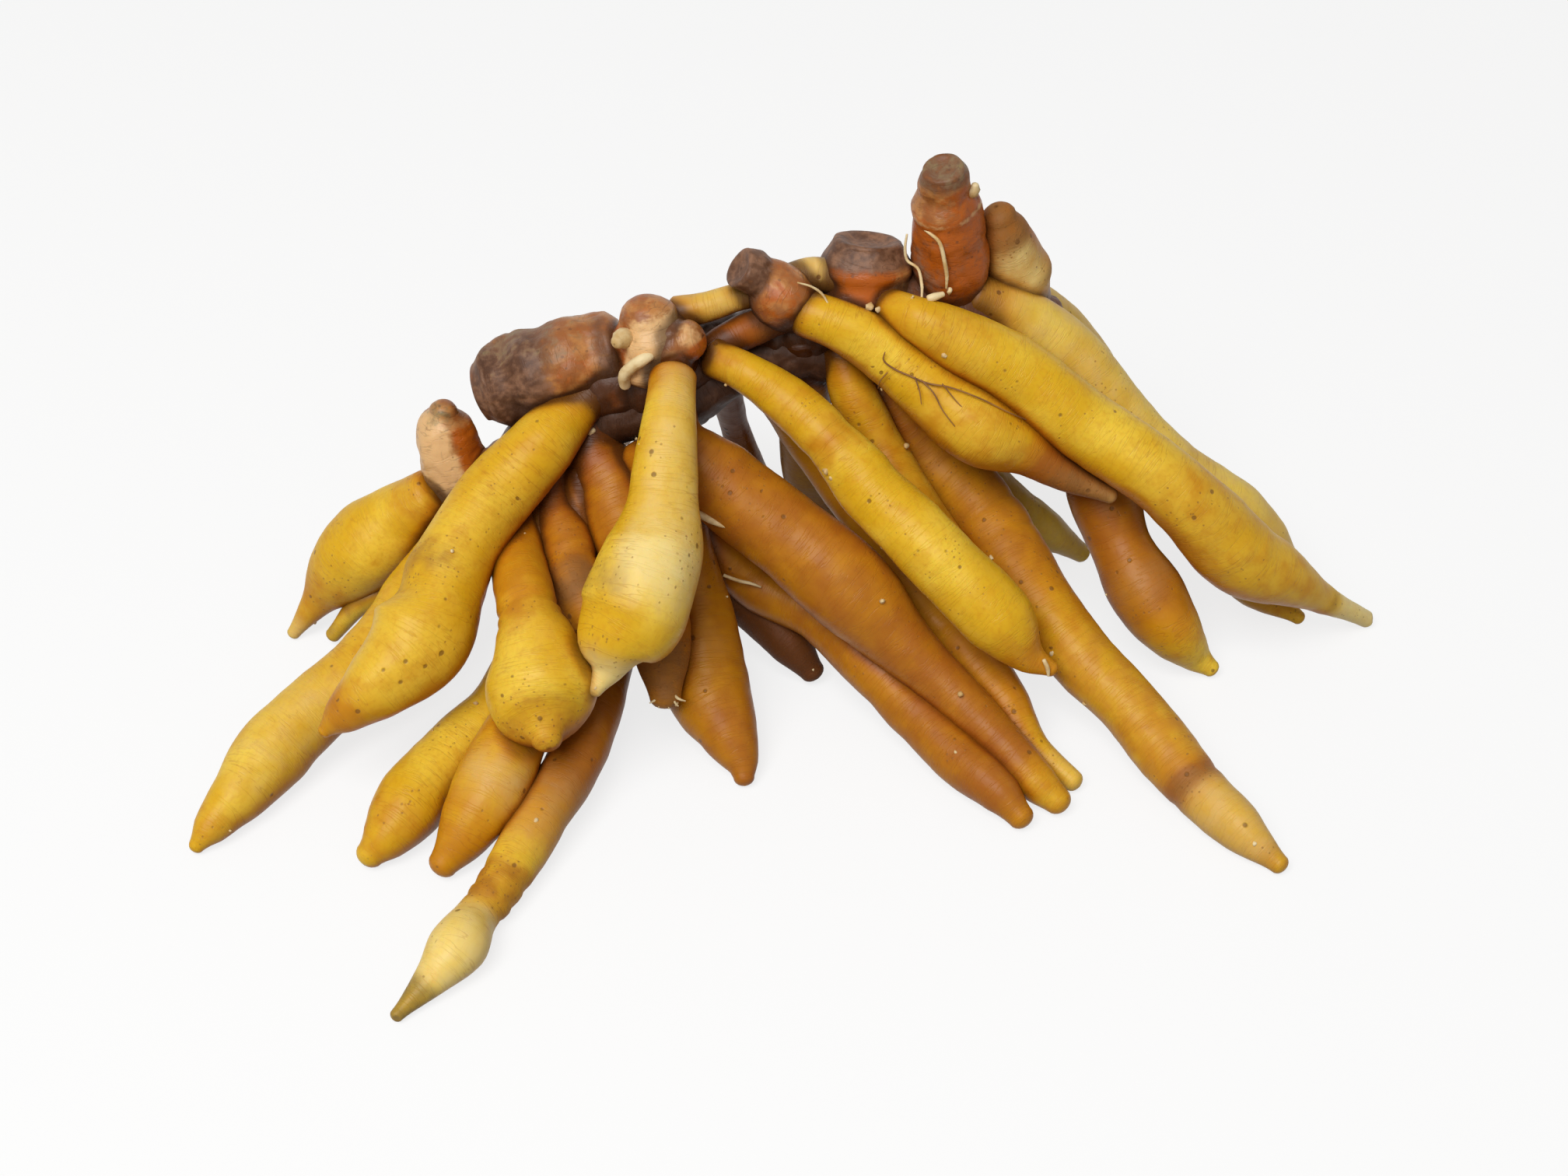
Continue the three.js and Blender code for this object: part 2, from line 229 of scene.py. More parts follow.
def painted_tone(wire):
    colour = wire.node("Attribute", {"attribute_name": "tone"}, output="Color")
    moss = wire.node("Attribute", {"attribute_name": "tone"}, output="Alpha")
    parts = [wire.node("SeparateColor", None, {"Color": colour}, output=i) for i in range(3)]
    return Tone(*parts, moss)


# %% [markdown]
# ## Finger skin
# The living skin is thin, waxy and golden, and light sinks a little way into it, so it gets a low
# subsurface weight. Over the gold lie amber drifts and grain, faint rings as on a carrot, small brown pits,
# and patches of fine stipple where soil sat longest. The pits and rings also dent a bump, so that they
# catch the light.

# %% Colours of finger skin
GOLD = (0.71, 0.405, 0.012)
SUNNY = (0.84, 0.555, 0.045)
AMBER = (0.57, 0.235, 0.007)
TAN = (0.37, 0.115, 0.009)
# painted shade in the deepest creases
DEEP_SHADE = (0.085, 0.024, 0.004)
CREAM = (0.86, 0.66, 0.25)
MOSS = (0.25, 0.17, 0.045)
PIT_BROWN = (0.17, 0.07, 0.014)
SOIL_AND_SHADE = (0.26, 0.11, 0.025)
# painted shade: creases are multiplied by this tint
SHADE_TINT = (0.82, 0.66, 0.45)
UNSHADED = (1, 1, 1)
BACK_SHADE = (0.55, 0.40, 0.45)  # painted shade: what each part of a colour is multiplied by on the dim back fingers that lie in shade


# %% Finger skin material
def make_finger_skin(name, shade):
    material, shader, wire = new_material(name)
    place, tone, shelter = straight_place(wire), painted_tone(wire), read_painted_shade(wire)

    # drifts and mottling of gold and amber
    drift = place.noise(0.10)
    mottle = place.noise(0.40, detail=4)
    uneven = (mottle - 0.5) * 0.4 + (drift - 0.5) * 0.6
    grain = place.noise(1.7, detail=4)
    colour = drift.step(0.38, 0.62).blend(GOLD, SUNNY)
    colour = (mottle.step(0.48, 0.72) * 0.30 + grain.step(0.45, 0.70) * 0.22).blend(colour, AMBER)

    # the painted tones
    warmth = tone.tan + uneven * tone.tan.step(0.02, 0.35)
    colour = warmth.step(0.02, 0.52).blend(colour, AMBER)
    colour = warmth.step(0.38, 1.0).blend(colour, TAN)
    colour = (tone.pale * (mottle + 0.45)).step(0.1, 0.95).blend(colour, CREAM)
    colour = (tone.moss * (mottle + 0.4)).step(0.1, 0.9).blend(colour, MOSS)

    # faint rings, pits and stipple
    ringing = place.noise(0.7, stretch=(0.10, 0.10, 1), detail=3)
    rings = ringing.line(0.46, 0.018).larger(ringing.line(0.56, 0.014))
    colour = (rings * place.noise(0.15).step(0.42, 0.7) * 0.30).blend(colour, TAN)

    patches = place.noise(0.11, detail=1)
    pits = place.dots(0.42, 0.19, patches.step(0.36, 0.72) * 0.42 + 0.06 + tone.scar * 0.3)
    stipple = place.dots(1.5, 0.30, patches.step(0.50, 0.72) * 0.34 + tone.scar * 0.8)
    # the scar tone is scars and soil stain, and painted shade on the finger that lies in shade
    colour = (tone.scar * (mottle + 0.35)).step(0.25, 1.1).blend(colour, SOIL_AND_SHADE)
    colour = (stipple * 0.55).blend(colour, SOIL_AND_SHADE)
    colour = (pits * 0.72).blend(colour, PIT_BROWN)

    # painted shade in the creases, and where many neighbours crowd close
    colour = shelter.step(0.05, 0.55).blend(colour, colour_times(colour, SHADE_TINT))
    colour = (shelter.step(0.34, 1.0) * 0.92).blend(colour, DEEP_SHADE)
    # the colour is multiplied by shade: by 1 on lit fingers, and by painted shade on the dim back fingers
    feed(shader, "Base Color", colour_times(colour, shade))

    feed(shader, "Roughness", 0.33 + mottle * 0.14 + tone.scar * 0.2)
    height = grain * 0.30 - pits * 0.8 - stipple * 0.35 - rings * 0.25 + ringing * 0.35 + mottle * 0.5
    feed_bump(shader, height, 0.55, 0.22 * MM)
    set_inputs(shader, {
        "Specular IOR Level": 0.20, "Subsurface Weight": 0.16,
        "Subsurface Radius": (1.0, 0.42, 0.10), "Subsurface Scale": 2 * MM,
    })
    return material


FINGER_SKIN = make_finger_skin("finger_skin", UNSHADED)
# a darker copy of the skin, painted shade for back fingers that lie in shade
SHADED_BACK_SKIN = make_finger_skin("shaded_back_finger_skin", BACK_SHADE)
print("made", FINGER_SKIN.name, "with", len(FINGER_SKIN.node_tree.nodes), "nodes")

# %% [markdown]
# ## Crown bark
# The buds and stubs on the crown wear a tougher skin: pinkish tan where it is young, glossy orange-brown
# lower down, and dark grey-brown where leaf sheaths and stems broke away. One material can hold all of it,
# because `tone` already says which is which. Wavy dark rings are the scars of old leaf bases.

# %% Colours of bark
BARK_PINK = (0.50, 0.215, 0.062)
BARK_BROWN = (0.31, 0.105, 0.026)
BARK_ORANGE = (0.42, 0.096, 0.006)
BARK_BLUSH = (0.74, 0.45, 0.20)
BARK_DARK = (0.090, 0.036, 0.016)
BARK_GREY = (0.255, 0.125, 0.068)
BARK_MOSS = (0.22, 0.17, 0.075)
# painted shade in the bark's deepest creases and over the ridge
BARK_DEEP_SHADE = (0.045, 0.015, 0.005)


# %% Crown bark material
def make_crown_bark():
    material, shader, wire = new_material("crown_bark")
    place, tone, shelter = straight_place(wire), painted_tone(wire), read_painted_shade(wire)

    patch = place.noise(0.28, detail=5)
    grain = place.noise(0.95, detail=5)
    torn = (patch + grain - 1.0) * 0.9  # what makes the edge of a painted tone ragged
    colour = patch.step(0.40, 0.60).blend(BARK_BROWN, BARK_PINK)
    colour = (grain.step(0.50, 0.66) * 0.4).blend(colour, BARK_ORANGE)
    colour = (tone.tan + torn).step(0.30, 0.75).blend(colour, BARK_ORANGE)
    colour = (tone.pale + torn).step(0.40, 0.95).blend(colour, BARK_BLUSH)
    # the scar colour is stem scars, and painted shade where the tone is laid on parts in shade
    scar_and_shade_colour = (grain * 0.5 + patch * 0.5).step(0.38, 0.64).blend(BARK_DARK, BARK_GREY)
    colour = (tone.scar + torn).step(0.25, 0.95).blend(colour, scar_and_shade_colour)
    colour = (tone.moss + torn).step(0.40, 0.90).blend(colour, BARK_MOSS)

    ringing = place.noise(0.50, stretch=(0.25, 0.25, 1), detail=4)
    rings = ringing.line(0.44, 0.022).larger(ringing.line(0.57, 0.020))
    flecks = place.noise(0.8, stretch=(1, 1, 0.35), detail=3).step(0.60, 0.72)
    colour = (rings * patch.step(0.45, 0.62) * 0.35).blend(colour, BARK_DARK)
    colour = (flecks * 0.25).blend(colour, BARK_DARK)
    colour = (place.dots(0.9, 0.26, 0.16) * 0.5).blend(colour, BARK_DARK)
    # painted shade in the creases, and over the ridge, which lies in shade
    colour = (shelter.step(0.40, 1.0) * 0.9).blend(colour, BARK_DEEP_SHADE)
    feed(shader, "Base Color", colour)

    feed(shader, "Roughness", 0.24 + grain * 0.22 + tone.scar * 0.14)
    height = grain * 0.7 + patch * 0.8 - rings * 0.15
    feed_bump(shader, height, 0.5, 0.3 * MM)
    set_inputs(shader, {
        "Specular IOR Level": 0.26, "Subsurface Weight": 0.08,
        "Subsurface Radius": (1.0, 0.42, 0.15), "Subsurface Scale": 1.2 * MM,
    })
    return material


CROWN_BARK = make_crown_bark()
print("made", CROWN_BARK.name, "with", len(CROWN_BARK.node_tree.nodes), "nodes")

# %% [markdown]
# ## Rootlets, hairs and crumbs
# Dry rootlets and flakes of torn skin are matt and pale, and a few hairs are dark. They are so thin that a
# drift of colour along them is all that shows, so both share one short recipe with two pairs of colours.

# %% Rootlet materials
def make_rootlet(name, light, dark, patch_scale):
    material, shader, wire = new_material(name)
    place = straight_place(wire)
    drift = place.noise(patch_scale, detail=3)
    feed(shader, "Base Color", drift.step(0.38, 0.66).blend(light, dark))
    feed_bump(shader, place.noise(3.0), 0.5, 0.1 * MM)
    shader.inputs["Roughness"].default_value = 0.6
    return material


PALE_ROOTLET = make_rootlet("rootlet", (0.80, 0.64, 0.36), (0.55, 0.35, 0.13), 0.35)
DARK_HAIR = make_rootlet("dark_hair", (0.33, 0.15, 0.03), (0.16, 0.06, 0.014), 0.2)
print("made", PALE_ROOTLET.name, "and", DARK_HAIR.name)

# %% [markdown]
# ## A path and its girth
# A finger is given by a few stations from root to tip, each a place and a radius, the same ones that the
# solid has. A Bezier curve object with a bevel could sweep a circle along them, but it gives no say over
# rings, tips and dents. So the stations are joined by a Catmull-Rom curve, which passes through every one,
# and rings are laid on it at even distances, with a few more to round off each end.

# %% Smooth curve through stations
FINE_STEPS = 400  # points at which a path is measured
LOOK_AHEAD = 0.004  # share of a path between a ring and the points that give its direction
FIRST_EVEN_RING = 0.35  # how far along the evenly spaced rings start, as a share of the first radius
CAP_SPREAD = 0.3  # how much further a pattern runs on towards the middle of a cap, as a share of its radius
Ring = namedtuple("Ring", "point along radius run")


def smooth_between(before, start, end, after, share, spans=(1, 1, 1)):
    """A point between start and end. The spans are how far apart the four given values count as being."""
    a, b, c = spans
    leaving = ((start - before) / a - (end - before) / (a + b) + (end - start) / b) * b
    reaching = ((end - start) / b - (after - start) / (b + c) + (after - end) / c) * b
    cubic = 2 * (start - end) + leaving + reaching
    square = 3 * (end - start) - 2 * leaving - reaching
    return start + leaving * share + square * share ** 2 + cubic * share ** 3


def point_at(points, share):
    last = len(points) - 1
    i = min(int(share * last), last - 1)
    before = points[i - 1] if i else 2 * points[0] - points[1]
    after = points[i + 2] if i + 2 <= last else 2 * points[last] - points[last - 1]
    four = (before, points[i], points[i + 1], after)
    spans = [(q - p).length ** 0.5 for p, q in zip(four, four[1:])]
    return smooth_between(*four, share * last - i, spans)


def radius_at(radii, share):
    last = len(radii) - 1
    i = min(int(share * last), last - 1)
    four = (radii[max(i - 1, 0)], radii[i], radii[i + 1], radii[min(i + 2, last)])
    return smooth_between(*four, share * last - i)


# %% Rings along a limb
# the run and radius of the rings at each kind of end, as shares of the limb's radius there
ROOT_END = ((0, 0.55), (0.07, 0.80), (0.22, 0.94))
ROUND_END = ((0.22, 0.97), (0.42, 0.86), (0.60, 0.68), (0.72, 0.46), (0.79, 0.22), (0.80, 0))
CUT_END = (
    (0.07, 0.96), (0.10, 0.86), (0.08, 0.74), (0.02, 0.62),
    (-0.04, 0.48), (-0.07, 0.33), (-0.05, 0.17), (-0.02, 0),
)


def rings_along(stations, spacing, end):
    """The rings of a limb. Run is the distance from its root, and goes past its last station on the end."""
    points = [Vector(s[:3]) for s in stations]
    radii = [s[3] for s in stations]
    shares = np.linspace(0, 1, FINE_STEPS + 1)
    path = [point_at(points, s) for s in shares]
    runs = np.cumsum([0] + [(q - p).length for p, q in zip(path, path[1:])])
    root_radius, tip_radius = radii[0], radii[-1]

    def ring(run, shrink=1.0):
        share = float(np.interp(run, runs, shares))
        ahead, behind = (point_at(points, min(max(share + d, 0), 1)) for d in (LOOK_AHEAD, -LOOK_AHEAD))
        along = (ahead - behind).normalized()
        beyond = max(run - runs[-1], 0)
        point = point_at(points, share) + along * beyond
        return Ring(point, along, radius_at(radii, share) * shrink, run)

    even = np.arange(FIRST_EVEN_RING * root_radius, runs[-1], spacing)
    rings = [ring(run * root_radius, shrink) for run, shrink in ROOT_END]
    rings += [ring(run) for run in even] + [ring(runs[-1])]
    last_along = rings[-1].along
    rings += [
        Ring(path[-1] + last_along * reach * tip_radius, last_along, tip_radius * shrink,
             runs[-1] + (abs(reach) + CAP_SPREAD * (1 - shrink)) * tip_radius)
        for reach, shrink in end
    ]
    return rings, float(runs[-1])


# %% [markdown]
# ## Dents, swellings and painted marks
# No finger is a plain turned form. Wherever soil or a neighbour pressed, the skin has a crease or a bulge,
# and old wounds leave brown patches. Sculpting each by hand would be lost at the next change of shape. A
# list of short notes, each with its share of the finger's run and the side that it faces, can be changed at
# will and says what it does.

# %% Notes on a limb
LEFT, RIGHT, UP, DOWN = Vector((-1, 0, 0)), Vector((1, 0, 0)), Vector((0, 0, 1)), Vector((0, 0, -1))
FRONT = Vector((0, -0.77, 0.64))
LIT_SIDE = Vector((-0.18, -0.45, 0.87))  # the side of a limb towards the light, which keeps its full colour; the far side gets painted shade
# At, start and stop are shares of the run, and lengths are in millimetres. A depth below 0 swells.
Dent = namedtuple("Dent", "at depth reach facing", defaults=(None,))
Mark = namedtuple("Mark", "tone start stop strength soft facing", defaults=(None,))
tan, pale, scar, moss = (partial(Mark, tone) for tone in TONES)


def spot(mark, at, strength, soft, facing=None):
    """A mark round one place of the run."""
    return mark(at, at, strength, soft, facing)


def eased(value, low, high):
    """0 below low and 1 above high, with a soft edge between."""
    share = min(max((value - low) / (high - low), 0), 1)
    return share * share * (3 - 2 * share)


def turned_to(facing, outward):
    """1 on the side that looks towards facing, fading to 0 a little past its edge."""
    return 1.0 if facing is None else eased(outward.dot(facing.normalized()), -0.1, 0.8)


def turned_from_light(outward):
    """Painted shade: 0 on the upper and near side of a limb, and 1 on the side turned down and away from the
    light.
    """
    return eased(-outward.dot(LIT_SIDE), -0.35, 0.8)


# %% How strong a note is at a point
def dent_depth(dents, run, length, outward):
    return sum(
        d.depth * math.exp(-(((run - d.at * length) / d.reach) ** 2)) * turned_to(d.facing, outward)
        for d in dents
    )


def mark_strength(mark, run, length, outward):
    past = 0 if mark.stop == 1 else run - mark.stop * length
    away = max(mark.start * length - run, past, 0)
    return mark.strength * math.exp(-((away / mark.soft) ** 2)) * turned_to(mark.facing, outward)


# %% [markdown]
# ## Relief
# Fingers have long low swellings and faint rings. The crown's buds are lumpier, with steps where leaves
# were attached. The Displace modifier could do both, but only along the bent shape. Noise read at the
# straight place follows the finger instead. It is real geometry, and the bump in the material adds only
# what is finer than the mesh.

# %% Relief of each kind of skin
# Each number before a noise is its height and each divisor the size of its lumps, in millimetres. Thin limbs
# get less of both.
def finger_relief(place, radius):
    ring_place = Vector((place.x / 16, place.y / 16, place.z / 1.7))
    lumps = 0.42 * noise.noise(place / 9) + 0.12 * noise.noise(place / 3.5)
    return (lumps + 0.06 * noise.noise(ring_place)) * min(1, radius / 3) + 0.05


def bark_relief(place, radius):
    ring_place = Vector((place.x / 9, place.y / 9, place.z / 2.4))
    steps = abs(noise.noise(ring_place)) ** 0.6
    crease = max(0, 1 - abs(noise.noise(place / 4.4)) * 6)
    lumps = 0.75 * noise.noise(place / 5) + 0.14 * noise.noise(place / 1.9) + 0.04 * noise.noise(place / 0.8)
    return (lumps + 0.14 * steps - 0.14 * crease) * min(1, radius / 4) - 0.05


# %% [markdown]
# ## Growing a limb
# bmesh makes a capped tube in one call, and subdividing its upright edges gives as many rings as the path
# asks for. The tube is then bent: each vertex is moved to its ring, out along two directions that are
# carried from ring to ring so that the limb doesn't twist. Points that would sink below the surface are
# pressed flat on it, as soft roots are. A kind of limb also says how strongly painted shade turns its side
# away from the light tan, and the least painted shade that it has.

# %% Kinds of limb
Kind = namedtuple("Kind", "material slot relief sides spacing end underside least_shelter", defaults=(0,))
FINGER = Kind(
    FINGER_SKIN, "finger_skin", finger_relief, sides=64, spacing=0.75, end=ROUND_END, underside=0.85,
)
# back fingers in shade wear the darker copy of the skin, as painted shade
SHADED_BACK_FINGER = FINGER._replace(material=SHADED_BACK_SKIN)
# painted shade over the whole of a finger that lies in shade
SHADED_FINGER = FINGER._replace(least_shelter=0.85)
BUD = Kind(CROWN_BARK, "crown_bark", bark_relief, sides=88, spacing=0.36, end=ROUND_END, underside=0.5)
# painted shade over the whole of the crown's ridge, which lies in shade under the buds
RIDGE = BUD._replace(least_shelter=0.8)
STUB = BUD._replace(end=CUT_END)
ROOTLET = Kind(PALE_ROOTLET, "rootlet", None, sides=10, spacing=0.5, end=ROUND_END, underside=0)
HAIR = ROOTLET._replace(material=DARK_HAIR)
Limb = namedtuple("Limb", "name kind stations dents marks")
limbs = []


def plan(name, kind, stations, dents=(), marks=()):
    """Notes one limb through its stations (x, y, z, radius), with its dents and marks, to be grown later."""
    limbs.append(Limb(name, kind, stations, dents, marks))


def finger(name, stations, dents=(), marks=(), kind=FINGER):
    plan("finger_" + name, kind, stations, dents, marks)


# %% A straight tube, and the way it bends
FIRST_ACROSS = Vector((0, 1, 0.3)).normalized()


def straight_tube(bm, sides, rings):
    """A capped tube of radius 1, whose ring number rises with Z."""
    bmesh.ops.create_cone(bm, cap_ends=True, cap_tris=True, segments=sides, radius1=1, radius2=1, depth=1)
    upright = [e for e in bm.edges if abs(e.verts[0].co.z - e.verts[1].co.z) > 0.5]
    bmesh.ops.subdivide_edges(bm, edges=upright, cuts=rings - 2, use_grid_fill=True)


def carried_directions(rings):
    """Two directions square to the path at each ring, turning as little as possible between rings."""
    across, found = FIRST_ACROSS, []
    for ring in rings:
        across = (across - ring.along * across.dot(ring.along)).normalized()
        found.append((across, ring.along.cross(across)))
    return found


# %% Bend and paint
PATTERN_SHIFT = Vector((37, -23, 61))  # each piece reads its patterns this far from the last piece's
PLAIN_RINGS = 3  # rings at a limb's root without relief, and rings at its tip over which relief fades
OVERLAP = 0.35  # how much the weaker of two marks of one tone adds where they overlap
BOX_LOW, BOX_HIGH = (Vector(corner) / MM for corner in cad_box)


def kept_inside(point):
    """The point, moved into the solid's box if it would stick out, so it is never below the surface."""
    return Vector(min(max(value, low), high) for value, low, high in zip(point, BOX_LOW, BOX_HIGH))


def bend_and_paint(bm, rings, length, kind, shift, dents, marks):
    straight = bm.verts.layers.float_vector.new("straight")
    painted = bm.verts.layers.float_color.new("tone")
    directions = carried_directions(rings)
    for vert in bm.verts:
        number = round((vert.co.z + 0.5) * (len(rings) - 1))
        ring, (across, over) = rings[number], directions[number]
        outward = across * vert.co.x + over * vert.co.y
        place = Vector((vert.co.x * ring.radius, vert.co.y * ring.radius, ring.run)) + shift
        radius = ring.radius
        if kind.relief and number >= PLAIN_RINGS:
            fade = min(1, (len(rings) - 1 - number) / PLAIN_RINGS)
            radius += kind.relief(place, radius) * fade - dent_depth(dents, ring.run, length, outward)
        vert.co = kept_inside(ring.point + outward * max(radius, 0))
        vert[straight] = place
        strengths = dict.fromkeys(TONES, 0.0)
        # painted shade: the side of a limb turned away from the light goes tan
        strengths["tan"] = kind.underside * turned_from_light(outward)
        for mark in marks:
            found = mark_strength(mark, ring.run, length, outward)
            weaker, stronger = sorted((strengths[mark.tone], found))
            strengths[mark.tone] = stronger + OVERLAP * weaker
        vert[painted] = list(strengths.values())


# %% Make the mesh a piece
def object_from(bm, name, material):
    mesh = bpy.data.meshes.new(name)
    bm.to_mesh(mesh)
    bm.free()
    mesh.materials.append(material)
    return put_in_scene(name, mesh)


def finish_piece(bm, name, kind):
    bmesh.ops.recalc_face_normals(bm, faces=bm.faces)
    bmesh.ops.scale(bm, vec=(MM, MM, MM), verts=bm.verts)
    piece = object_from(bm, name, kind.material)
    piece.data.shade_smooth()
    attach(piece, "root")
    if kind.slot != "rootlet":
        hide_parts("rhizome")
    return piece


# %% [markdown]
# ## The crown
# The rhizome proper is a bent ridge under the buds, with a branch to the left. Two bare golden links bridge
# the gaps between neighbouring buds, with a browner one below: they are young rhizome with the same skin as
# the fingers. Little of the ridge shows, but it is built whole, so that no view looks through the clump.

# %% Ridge, branch and links
RIDGE_RINGS = 14  # rings left by old leaves along the ridge

plan("crown_ridge", RIDGE, [
    (-44.5, 20, 41, 5), (-34.5, 20, 43, 6), (-22.5, 20, 44.5, 6), (-11.5, 26, 47, 3.9),
    (1.5, 27.5, 47.5, 5), (17.5, 29, 49.5, 7), (29.5, 32, 47, 6), (35.5, 34, 45, 3),
], dents=[Dent(number / RIDGE_RINGS, 0.55, 0.7) for number in range(1, RIDGE_RINGS)], marks=[
    # the dark and tan tones over the whole ridge are painted shade; the spots at each ring are leaf scars
    scar(0, 1, 0.6, 5), tan(0, 1, 0.7, 5),
    *[spot(scar, number / RIDGE_RINGS, 0.9, 1.1) for number in range(1, RIDGE_RINGS)],
])
# painted shade: the lower crown is dark all over, as it lies in shade under the buds
plan("crown_lower", RIDGE, [
    (-40, 20, 36, 4.5), (-30, 19, 38, 5.2), (-20.5, 19.6, 39.9, 5.2), (-15.8, 21.3, 41.2, 4.6),
    (-9, 24.5, 44, 3.4), (2, 27, 43, 4.5), (14, 30, 43, 5), (24, 32, 43, 4),
], marks=[scar(0, 1, 1.1, 5)])
plan("crown_left_branch", RIDGE, [
    (-38.5, 20, 40, 4), (-44, 17.2, 31.2, 4.2), (-52, 15.6, 24.2, 4.3),
], marks=[scar(0, 1, 0.5, 4, DOWN)])
plan("link_near", FINGER, [
    (-21, 22.5, 52.8, 2.4), (-16, 22.5, 53.9, 2.2), (-11, 24, 54.7, 2.1), (-6, 25.5, 54.9, 2.4),
], marks=[pale(0, 1, 0.4, 3), tan(0, 0.2, 0.4, 2), tan(0.95, 1, 0.5, 1.5), spot(pale, 0.6, 0.4, 3)])
plan("link_far", FINGER, [
    (-4.5, 25.5, 56.2, 2.4), (-0.5, 26.8, 56.7, 2.5), (4, 27, 56, 2.6),
], marks=[tan(0, 0.2, 0.3, 2), tan(0.9, 1, 0.4, 2), pale(0.3, 0.7, 1, 3)])
plan("link_under", FINGER, [
    (-3.5, 24.5, 51, 2), (-8.5, 22.6, 50.6, 2.6), (-13, 21, 49.2, 2.5), (-16.5, 20, 47.6, 1.9),
], marks=[tan(0, 1, 1, 2), scar(0, 0.3, 1, 3)])
print("crown:", [limb.name for limb in limbs])

# %% [markdown]
# ## Buds and stubs
# Round buds end in a closed dome, and stubs end in the scar of a stem that broke off, a rim round a shallow
# hollow. Both are limbs like the fingers, and all but the far bud wear the bark with its lumpier relief.
# The marks give each its own colours: a blush on the young side bud, grey-brown scars on top of the wide
# stub, and a glossy orange band low on the tall bud.

# %% Round buds
plan("bud_side", BUD, [
    (-52.5, 16, 23, 3.5), (-53.9, 17.5, 27.9, 4.7), (-55, 18.5, 32.7, 4.6), (-55.3, 19, 36.2, 3.6),
    (-55.2, 19, 38, 2),
], dents=[Dent(0.45, -0.4, 3, LEFT)], marks=[
    pale(0.25, 0.85, 1.3, 3, LEFT + FRONT), tan(0.1, 0.75, 0.9, 3, RIGHT), moss(0.96, 1, 0.5, 1.5),
    scar(0.9, 1, 0.5, 2, UP),
])
plan("bud_knob", BUD, [
    (-23.6, 16.9, 45.2, 5.6), (-23.6, 17.6, 49.2, 6), (-24, 18, 52.4, 5.6), (-24.2, 18.3, 54.6, 4.3),
], dents=[
    Dent(0.5, 0.8, 2.2, LEFT + FRONT), Dent(0.3, 0.4, 1.5, FRONT), Dent(0.85, -0.5, 1.5, RIGHT),
], marks=[
    pale(0.2, 0.9, 1.4, 3, FRONT + RIGHT * 0.3), tan(0.1, 0.75, 0.8, 2.5, LEFT),
    scar(0.97, 1, 1, 1.8, UP + LEFT * 0.2),
])
plan("bud_knob_side", BUD, [
    (-22.5, 18.5, 49, 4.5), (-19.8, 16.2, 51.6, 4.4), (-18.2, 15.8, 52.4, 3.1),
], dents=[Dent(0.6, -0.4, 2, DOWN)], marks=[
    pale(0.2, 1, 0.6, 3, FRONT + UP), tan(0.2, 1, 0.9, 2, DOWN + FRONT * 0.5),
])
plan("bud_far", FINGER, [
    (31.5, 34.5, 46, 4.8), (29.9, 33.4, 53, 5.1), (28.4, 32.3, 58.6, 4.6), (27.4, 31.4, 62.2, 3.5),
    (26.9, 31.2, 63.8, 2.5),
], dents=[Dent(0.42, -0.6, 1.8, RIGHT)], marks=[
    tan(0, 1, 0.5, 4), pale(0.15, 0.75, 0.72, 3.5, FRONT), tan(0.82, 1, 0.95, 3), scar(0.9, 1, 1, 2),
    spot(scar, 0.42, 0.7, 1.6, RIGHT), spot(scar, 0.7, 0.4, 1.6, LEFT + FRONT),
])

# %% Stubs with a scar on top
plan("stub_lying", STUB, [
    (-27.5, 20.5, 48, 5.8), (-35.3, 20, 46, 6.6), (-42, 20, 43.6, 7), (-46.3, 20.2, 41.6, 6.4),
    (-49, 20.2, 40.7, 4.6),
], dents=[
    Dent(0.74, 1.5, 2, FRONT), Dent(0.92, -0.8, 1.4, FRONT + LEFT), Dent(0.5, 0.5, 1.2, FRONT),
    Dent(0.2, 0.6, 1.5, FRONT),
], marks=[
    tan(0, 0.5, 0.35, 4, FRONT + DOWN * 0.4), pale(0.15, 0.45, 0.4, 3, FRONT + UP * 0.5),
    scar(0.45, 0.95, 0.65, 4, UP), scar(0.58, 0.9, 0.95, 3, FRONT), tan(0.97, 1, 0.6, 1),
    # the dark marks on the underside and towards the left end are soil stain and painted shade
    scar(0, 1, 0.9, 3, DOWN), scar(0.75, 1, 1.1, 3, DOWN + FRONT), spot(scar, 0.12, 0.8, 2, FRONT),
    moss(0.2, 0.9, 0.45, 4, UP),
])
plan("stub_small", STUB, [
    (-1.5, 25.5, 51, 4.2), (-5, 24, 55.4, 4.9), (-8, 23.5, 58.3, 3.9), (-10.7, 22.8, 60.3, 3.2),
], dents=[Dent(0.75, 0.6, 1.2), Dent(0.45, -0.4, 1.6, FRONT)], marks=[
    scar(0.84, 1, 0.95, 2), tan(0, 0.8, 0.5, 3, FRONT + DOWN), scar(0, 0.8, 0.8, 3, DOWN),
    pale(0.3, 0.6, 0.15, 2.5, FRONT + UP),
])
plan("stub_wide", STUB, [
    (8.5, 29.5, 49, 5.5), (7.5, 28.8, 53.4, 6.9), (7.4, 29.5, 57.2, 6.8), (7.6, 30.3, 60.1, 5.2),
], dents=[Dent(0.55, 0.6, 0.9), Dent(0.35, -0.4, 2, FRONT)], marks=[
    scar(0.86, 1, 1, 1.4), tan(0.1, 0.72, 1.1, 1.6, FRONT + LEFT * 0.5),
    pale(0.1, 0.5, 0.5, 2.5, RIGHT + FRONT * 0.5), scar(0.5, 1, 0.6, 2, LEFT),
])
